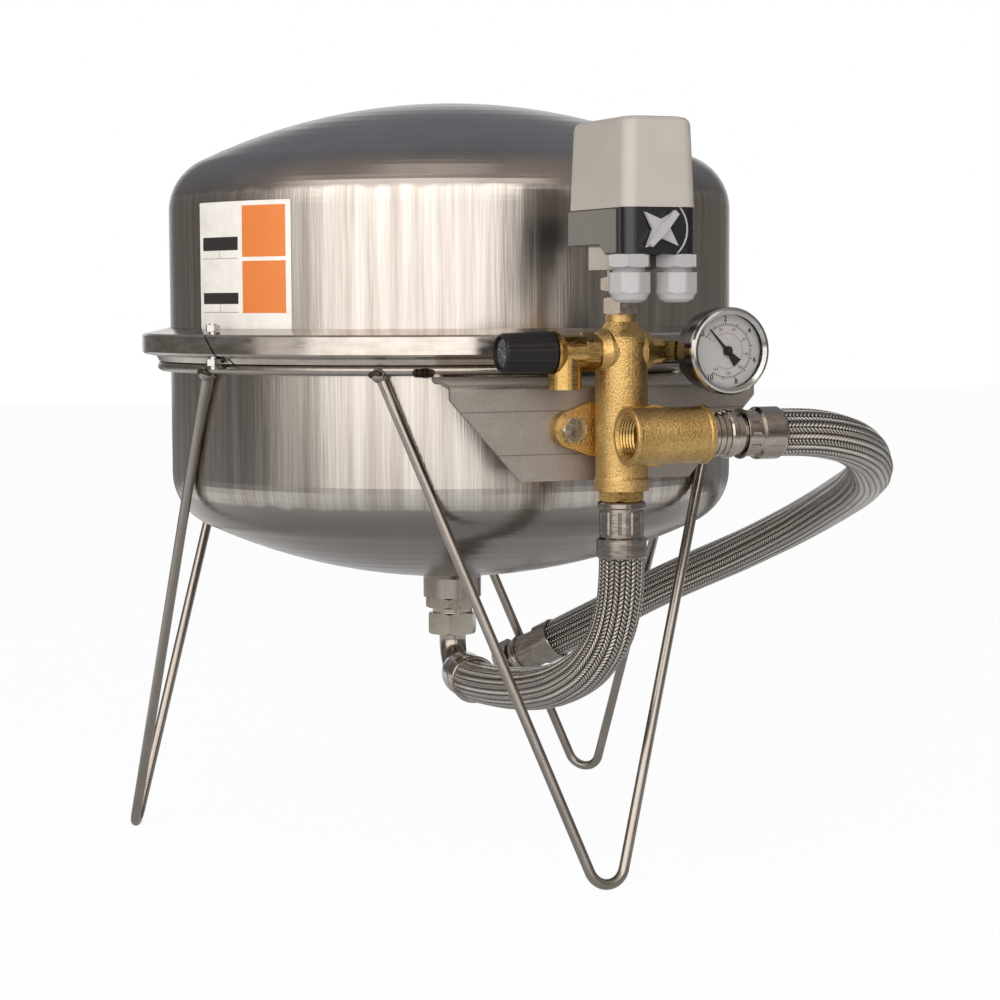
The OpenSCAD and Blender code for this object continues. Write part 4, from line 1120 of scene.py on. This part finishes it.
@dataclass
class Tank:
    """Shell halves, clamp ring, label and what is fixed to them."""

    def build(self, frame: dict, palette: Palette) -> None:
        """Dress the tank's own pieces.

        Args:
            palette: The finishes.
        """
        dress(frame, palette["Belt polished shell steel"], "upper_shell", "lower_shell")
        dress(frame, palette["Polished band steel"], "clamp_ring")
        dress(frame, palette["Bright zinc plating"], "clamp_bolt")
        dress(frame, palette["Black rubber"], "diaphragm")
        dress(frame, palette["Drawn rod steel"], "bottom_socket")
        dress(frame, palette["Nickel plating over brass"], "reducing_bush", "union_nut")
        dress(frame, palette["Polished tube steel"], "elbow")
        dress(frame, palette["Turned brass"], "gas_valve")
        dress(frame, palette["Ribbed black cap plastic"], "gas_valve_cap")
        dress(frame, palette["Printed polyester film"], "shell_label")


# Stand


@dataclass
class Stand:
    """Rod stand with its weld beads, and the bracket sheet."""

    rod: float = 4.0 * MM
    ring: float = 236.6 * MM
    level: float = 387.2 * MM
    legs: tuple[float, ...] = (157.0, 273.5, 40.5)
    spread: float = 38.6
    foot: float = 30.4 * MM
    bracket_weld_turn: float = 26.75

    def rod_weld(self, azimuth: float, side: int, seed: int) -> Array:
        """Points of the bead that wraps one rod's top where it meets the ring.

        The rod leaves the ring at azimuth + side * spread. The bead is an arc of 200 degrees round the
        rod, 4.5 mm under the ring's centre, open towards the tank.

        Args:
            azimuth: Azimuth of the leg in degrees.
            side: -1 or 1 for the leg's two rods.
            seed: Seed that lets the beads differ.

        Returns:
            Array of shape (9, 3).
        """
        turn = math.radians(azimuth + side * self.spread)
        out = np.array([math.cos(turn), math.sin(turn), 0.0])
        across = np.array([-math.sin(turn), math.cos(turn), 0.0])
        rng = np.random.default_rng(seed)
        sweep = np.radians(np.linspace(-104, 104, 9))[:, None]
        wobble = rng.uniform(-0.25, 0.25, (9, 1)) * MM
        centre = out * (self.ring + 0.4 * MM)
        ring = centre + (self.rod + 1.0 * MM) * (np.cos(sweep) * out + np.sin(sweep) * across)
        ring[:, 2] = self.level - 3.4 * MM + 1.6 * MM * np.cos(sweep[:, 0] * 1.3)
        return ring + wobble * out

    def build(self, frame: dict, palette: Palette) -> None:
        """Dress the stand and lay the beads.

        Args:
            palette: The finishes.
        """
        dress(frame, palette["Drawn rod steel"], "stand_ring", "left_leg", "front_leg", "rear_leg")
        dress(frame, palette["Mill finish sheet steel"], "bracket")
        bead_steel = palette["Weld bead steel"]
        for number, azimuth in enumerate(self.legs):
            for side in (-1, 1):
                seed = 10 * number + side + 2
                name = f"rod_weld_{number + 1}_{'left' if side < 0 else 'right'}"
                path = self.rod_weld(azimuth, side, seed)
                solid(
                    name, bead(name, path, 2.1 * MM, (0.0, 0.0, 1.0), seed), bead_steel, "tank",
                    50.0,
                )
        for side in (-1, 1):
            middle = math.radians(270.0 + side * self.bracket_weld_turn)
            turn = middle + np.linspace(-8.5 * MM, 8.5 * MM, 7) / self.ring
            reach = self.ring + 2.2 * MM
            path = np.stack(
                [reach * np.cos(turn), reach * np.sin(turn), np.full(7, self.level - 1.6 * MM)], -1
            )
            name = f"bracket_weld_{'left' if side < 0 else 'right'}"
            solid(
                name, bead(name, path, 3.7 * MM, (0.0, 0.0, 1.0), 40 + side), bead_steel, "tank",
                50.0,
            )


# Manifold and relief valve


@dataclass
class Manifold:
    """Cast manifold, its bolts, and the pipe threads in its open port."""

    tee: tuple[float, float, float] = (0.0, -0.358, 0.3433)
    port_end: float = 13.5 * MM
    bore: float = 15.15 * MM

    def build(self, frame: dict, palette: Palette) -> None:
        """Dress the castings and cut the thread.

        Args:
            palette: The finishes.
        """
        dress(frame, palette["Sand cast brass"], "manifold")
        dress(frame, palette["Bright zinc plating"], "manifold_bolts")
        dress(frame, palette["Turned brass"], "bottom_adapter")
        out = Place.along(self.tee, (-1.0, 0.0, 0.0), (0.0, -1.0, 0.0))
        start, stop = self.port_end - 13.8 * MM, self.port_end - 2.2 * MM
        liner = thread(
            "port_thread", out, self.bore - 0.42 * MM, 1.16 * MM, 2.309 * MM, start, stop,
            self.bore + 0.04 * MM,
        )
        solid("port_thread", liner, palette["Turned brass"], "tank", 24.0)


@dataclass
class ReliefValve:
    """Relief valve with its drain thread, ribbed cap and the disc in the cap's end."""

    outlet: tuple[float, float, float] = (-0.0442, -0.323, 0.3754)
    bore: float = 9.3 * MM

    def build(self, frame: dict, palette: Palette) -> None:
        """Dress the valve and cut the drain thread.

        Args:
            palette: The finishes.
        """
        dress(frame, palette["Turned brass"], "relief_body")
        dress(frame, palette["Ribbed black cap plastic"], "relief_cap")
        dress(frame, palette["Flaked grey disc"], "relief_disc")
        down = Place.along(self.outlet, (0.0, 0.0, -1.0), (1.0, 0.0, 0.0))
        liner = thread(
            "drain_thread", down, self.bore - 0.35 * MM, 0.9 * MM, 1.814 * MM, -10.6 * MM, -1.4 * MM,
            self.bore + 0.04 * MM,
        )
        solid("drain_thread", liner, palette["Turned brass"], "tank", 24.0)


# Gauge


@dataclass
class Gauge:
    """Pressure gauge with a printed dial of two scales and a thin pointer.

    The outer scale runs from 0 to 10. Its angles are clockwise from the top, so a mark of value v is at
    zero + v / 10 * sweep.
    """

    centre: tuple[float, float, float] = (0.068, -0.342, 0.4017)
    face: float = 11.5 * MM
    zero: float = -58.0
    sweep: float = 274.0
    marks: list[tuple[float, float, float, float]] = field(default_factory=list)

    def spot(self, value: float, radius: float) -> tuple[Array, float]:
        """Where a value of the scale lies on the dial.

        Args:
            value: Value from 0 to 10.
            radius: Distance from the dial's centre.

        Returns:
            The point in the dial's own plane, x right and y up, and its angle in radians.
        """
        angle = math.radians(self.zero + value / 10.0 * self.sweep)
        return np.array([radius * math.sin(angle), radius * math.cos(angle)]), angle

    def ticks(self, count: int, every: int, inner: float, short: float, long: float, width: float) -> Array:
        """Corners of the radial ticks of one scale.

        Args:
            count: Number of steps.
            every: Steps from one long tick to the next.
            inner: Radius of the ticks' inner ends.
            short: Length of a short tick.
            long: Length of a long tick.
            width: Width of a tick.

        Returns:
            Array of shape (count + 1, 4, 2).
        """
        step = np.arange(count + 1)
        angle = np.radians(self.zero + step / count * self.sweep)
        out = np.stack([np.sin(angle), np.cos(angle)], -1)[:, None]
        side = np.stack([np.cos(angle), -np.sin(angle)], -1)[:, None]
        main = (step % every == 0)[:, None, None]
        reach = np.where(main, long, short)
        half = np.where(main, width, width * 0.6) / 2
        near, far = out * inner, out * (inner + reach)
        return np.concatenate(
            [near - side * half, near + side * half, far + side * half, far - side * half], 1
        )

    def arc(self, radius: float, width: float) -> Array:
        """Corners of the thin line that joins a scale's ticks, as quads round the sweep."""
        angle = np.radians(self.zero + np.linspace(0.0, self.sweep, 121))
        out = np.stack([np.sin(angle), np.cos(angle)], -1)
        low, high = out * (radius - width / 2), out * (radius + width / 2)
        return np.stack([low[:-1], low[1:], high[1:], high[:-1]], 1)

    def printed(
        self, name: str, quads: list[Array], numbers: list[tuple[str, Array, float]], ink: bpy.types.Material,
        lift: float,
    ) -> None:
        """Print quads and numbers on the dial as one thin piece.

        Each mark is a prism 0.05 mm thick: the flat outline is lifted off the dial and closed at the back.

        Args:
            name: Name of the piece.
            quads: Corner arrays in the dial's plane.
            numbers: Text, place and height of each number.
            ink: Material of the print.
            lift: Height of the print's top over the dial.
        """
        flat = np.concatenate(quads).reshape(-1, 2)
        points = [np.column_stack([flat, np.zeros(len(flat))])]
        faces = [(4 * i, 4 * i + 1, 4 * i + 2, 4 * i + 3) for i in range(len(flat) // 4)]
        offset = len(flat)
        home = Place(np.zeros(3), np.array([1.0, 0, 0]), np.array([0, 1.0, 0]), np.array([0, 0, 1.0]))
        for text, spot, size in numbers:
            at = Place(np.array([spot[0], spot[1], 0.0]), home.x, home.y, home.z)
            shape, tris = lettering(text, size, at, 0.0)
            points.append(shape)
            faces += [tuple(index + offset for index in tri) for tri in tris]
            offset += len(shape)
        local = np.concatenate(points)
        local[:, 2] = self.face + lift
        dial = Place(
            np.array(self.centre), np.array([1.0, 0, 0]), np.array([0, 0, 1.0]), np.array([0, -1.0, 0])
        )
        mesh = bpy.data.meshes.new(name)
        mesh.from_pydata(dial.put(local).tolist(), [], faces)
        work = bmesh.new()
        work.from_mesh(mesh)
        bmesh.ops.remove_doubles(work, verts=work.verts, dist=1e-6)
        fronts = work.faces[:]
        for face in fronts:
            if face.normal.y > 0:
                face.normal_flip()
        grown = bmesh.ops.extrude_face_region(work, geom=fronts, use_keep_orig=True)
        moved = [item for item in grown["geom"] if isinstance(item, bmesh.types.BMVert)]
        bmesh.ops.translate(work, verts=moved, vec=(0.0, 0.04 * MM, 0.0))
        work.to_mesh(mesh)
        work.free()
        solid(name, mesh, ink, "tank", 30.0)

    def build(self, frame: dict, palette: Palette) -> None:
        """Dress the gauge and print its dial.

        Args:
            palette: The finishes.
        """
        dress(frame, palette["Turned brass"], "gauge_stem")
        dress(frame, palette["Black phenolic base"], "gauge_case", "gauge_spindle")
        dress(frame, palette["Chromed bezel steel"], "gauge_bezel")
        dress(frame, palette["Dial enamel"], "gauge_dial")
        dress(frame, palette["Black dial ink"], "gauge_pointer")
        dress(frame, palette["Mineral gauge glass"], "gauge_glass")
        outer = [self.ticks(50, 5, 18.4 * MM, 1.4 * MM, 2.3 * MM, 0.6 * MM), self.arc(18.4 * MM, 0.3 * MM)]
        digits = [(str(v), self.spot(v, 22.9 * MM)[0], 3.7 * MM) for v in range(0, 11, 2)]
        self.printed("dial_outer_scale", outer, digits, palette["Black dial ink"], 0.05 * MM)
        inner = [self.ticks(28, 4, 12.4 * MM, 0.9 * MM, 1.5 * MM, 0.4 * MM), self.arc(12.4 * MM, 0.25 * MM)]
        small = [(str(v), self.spot(v / 14.0, 15.9 * MM)[0], 2.1 * MM) for v in range(0, 141, 20)]
        self.printed("dial_inner_scale", inner, small, palette["Faded red dial ink"], 0.05 * MM)


# Switch


@dataclass
class Switch:
    """Pressure switch with its glands and selector knob."""

    front: float = -387.0 * MM
    knob: tuple[float, float] = (-0.002, 0.4863)
    gland_pitch: float = 36.0 * MM
    gland_y: float = -373.0 * MM
    gland_z: float = 469.3 * MM

    def arc_mark(self, palette: Palette) -> None:
        """Raised arc beside the knob that shows its travel.

        The arc has radius 21.5 mm round the knob from -52 to 44 degrees, and tapers at both ends.

        Args:
            palette: The finishes.
        """
        angle = np.radians(np.linspace(-52.0, 44.0, 33))
        half = 0.65 * MM * np.sqrt(np.clip(1 - np.linspace(-1, 1, 33) ** 8, 0.05, 1))
        rows = []
        for radial, depth in ((-1, -0.4), (-1, 0.15), (-0.6, 0.35), (0.6, 0.35), (1, 0.15), (1, -0.4)):
            reach = 21.5 * MM + radial * half
            x = self.knob[0] + reach * np.cos(angle)
            z = self.knob[1] + reach * np.sin(angle)
            rows.append(np.stack([x, np.full(33, self.front + 0.6 * MM - depth * MM), z], -1))
        mesh = lattice("knob_arc_mark", np.stack(rows, 1), (False, True), ends=True)
        solid("knob_arc_mark", mesh, palette["Light grey polyamide"], "tank")

    def gland_threads(self, palette: Palette) -> None:
        """Thread that shows on each gland's neck above its nut.

        Args:
            palette: The finishes.
        """
        for side, name in ((-1, "left"), (1, "right")):
            place = Place.along(
                (side * self.gland_pitch / 2, self.gland_y, self.gland_z - 15 * MM), (0, 0, 1), (1, 0, 0)
            )
            turns = np.arange(72) / 72.0
            height = np.linspace(2.6 * MM, 6.2 * MM, 31)
            wave = np.arcsin(
                0.96 * np.sin(TAU * (height[:, None] / (1.5 * MM) - turns[None, :]))
            ) / (math.pi / 2)
            outer = 10.75 * MM + 0.4 * MM * wave
            inner = np.full((2, 72), 10.3 * MM)
            radius = np.vstack([outer, inner])
            level = np.concatenate([height, [6.2 * MM, 2.6 * MM]])[:, None] + 0.0 * turns
            local = np.stack([radius * np.cos(turns * TAU), radius * np.sin(turns * TAU), level], -1)
            mesh = lattice(f"{name}_gland_thread", place.put(local), (True, True))
            solid(
                f"{name}_gland_thread", mesh, palette["Light grey polyamide"], "tank",
                24.0,
            )

    def build(self, frame: dict, palette: Palette) -> None:
        """Dress the switch and add its mark and threads.

        Args:
            palette: The finishes.
        """
        dress(frame, palette["Nickel plating over brass"], "switch_nut", "switch_fitting")
        dress(frame, palette["Bright zinc plating"], "switch_flange")
        dress(frame, palette["Black phenolic base"], "switch_base")
        dress(frame, palette["Warm grey ABS cover"], "switch_cover")
        dress(frame, palette["Grey coated plate"], "switch_plate")
        dress(
            frame, palette["Light grey polyamide"],
            "switch_knob", "left_gland", "right_gland", "left_gland_nut", "right_gland_nut",
        )
        self.arc_mark(palette)
        self.gland_threads(palette)


# Whole model


def main() -> None:
    """Build the looks in order: camera and hoses first, then each sub-assembly."""
    logging.basicConfig(level=logging.INFO, format="%(name)s %(message)s")
    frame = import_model()
    palette = Palette()
    palette.make()
    Studio().build()
    Hoses().build(frame, palette)
    for part in (Tank(), Stand(), Manifold(), ReliefValve(), Gauge(), Switch()):
        part.build(frame, palette)
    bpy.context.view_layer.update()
    LOG.info("size written")


if __name__ == "__main__":
    main()
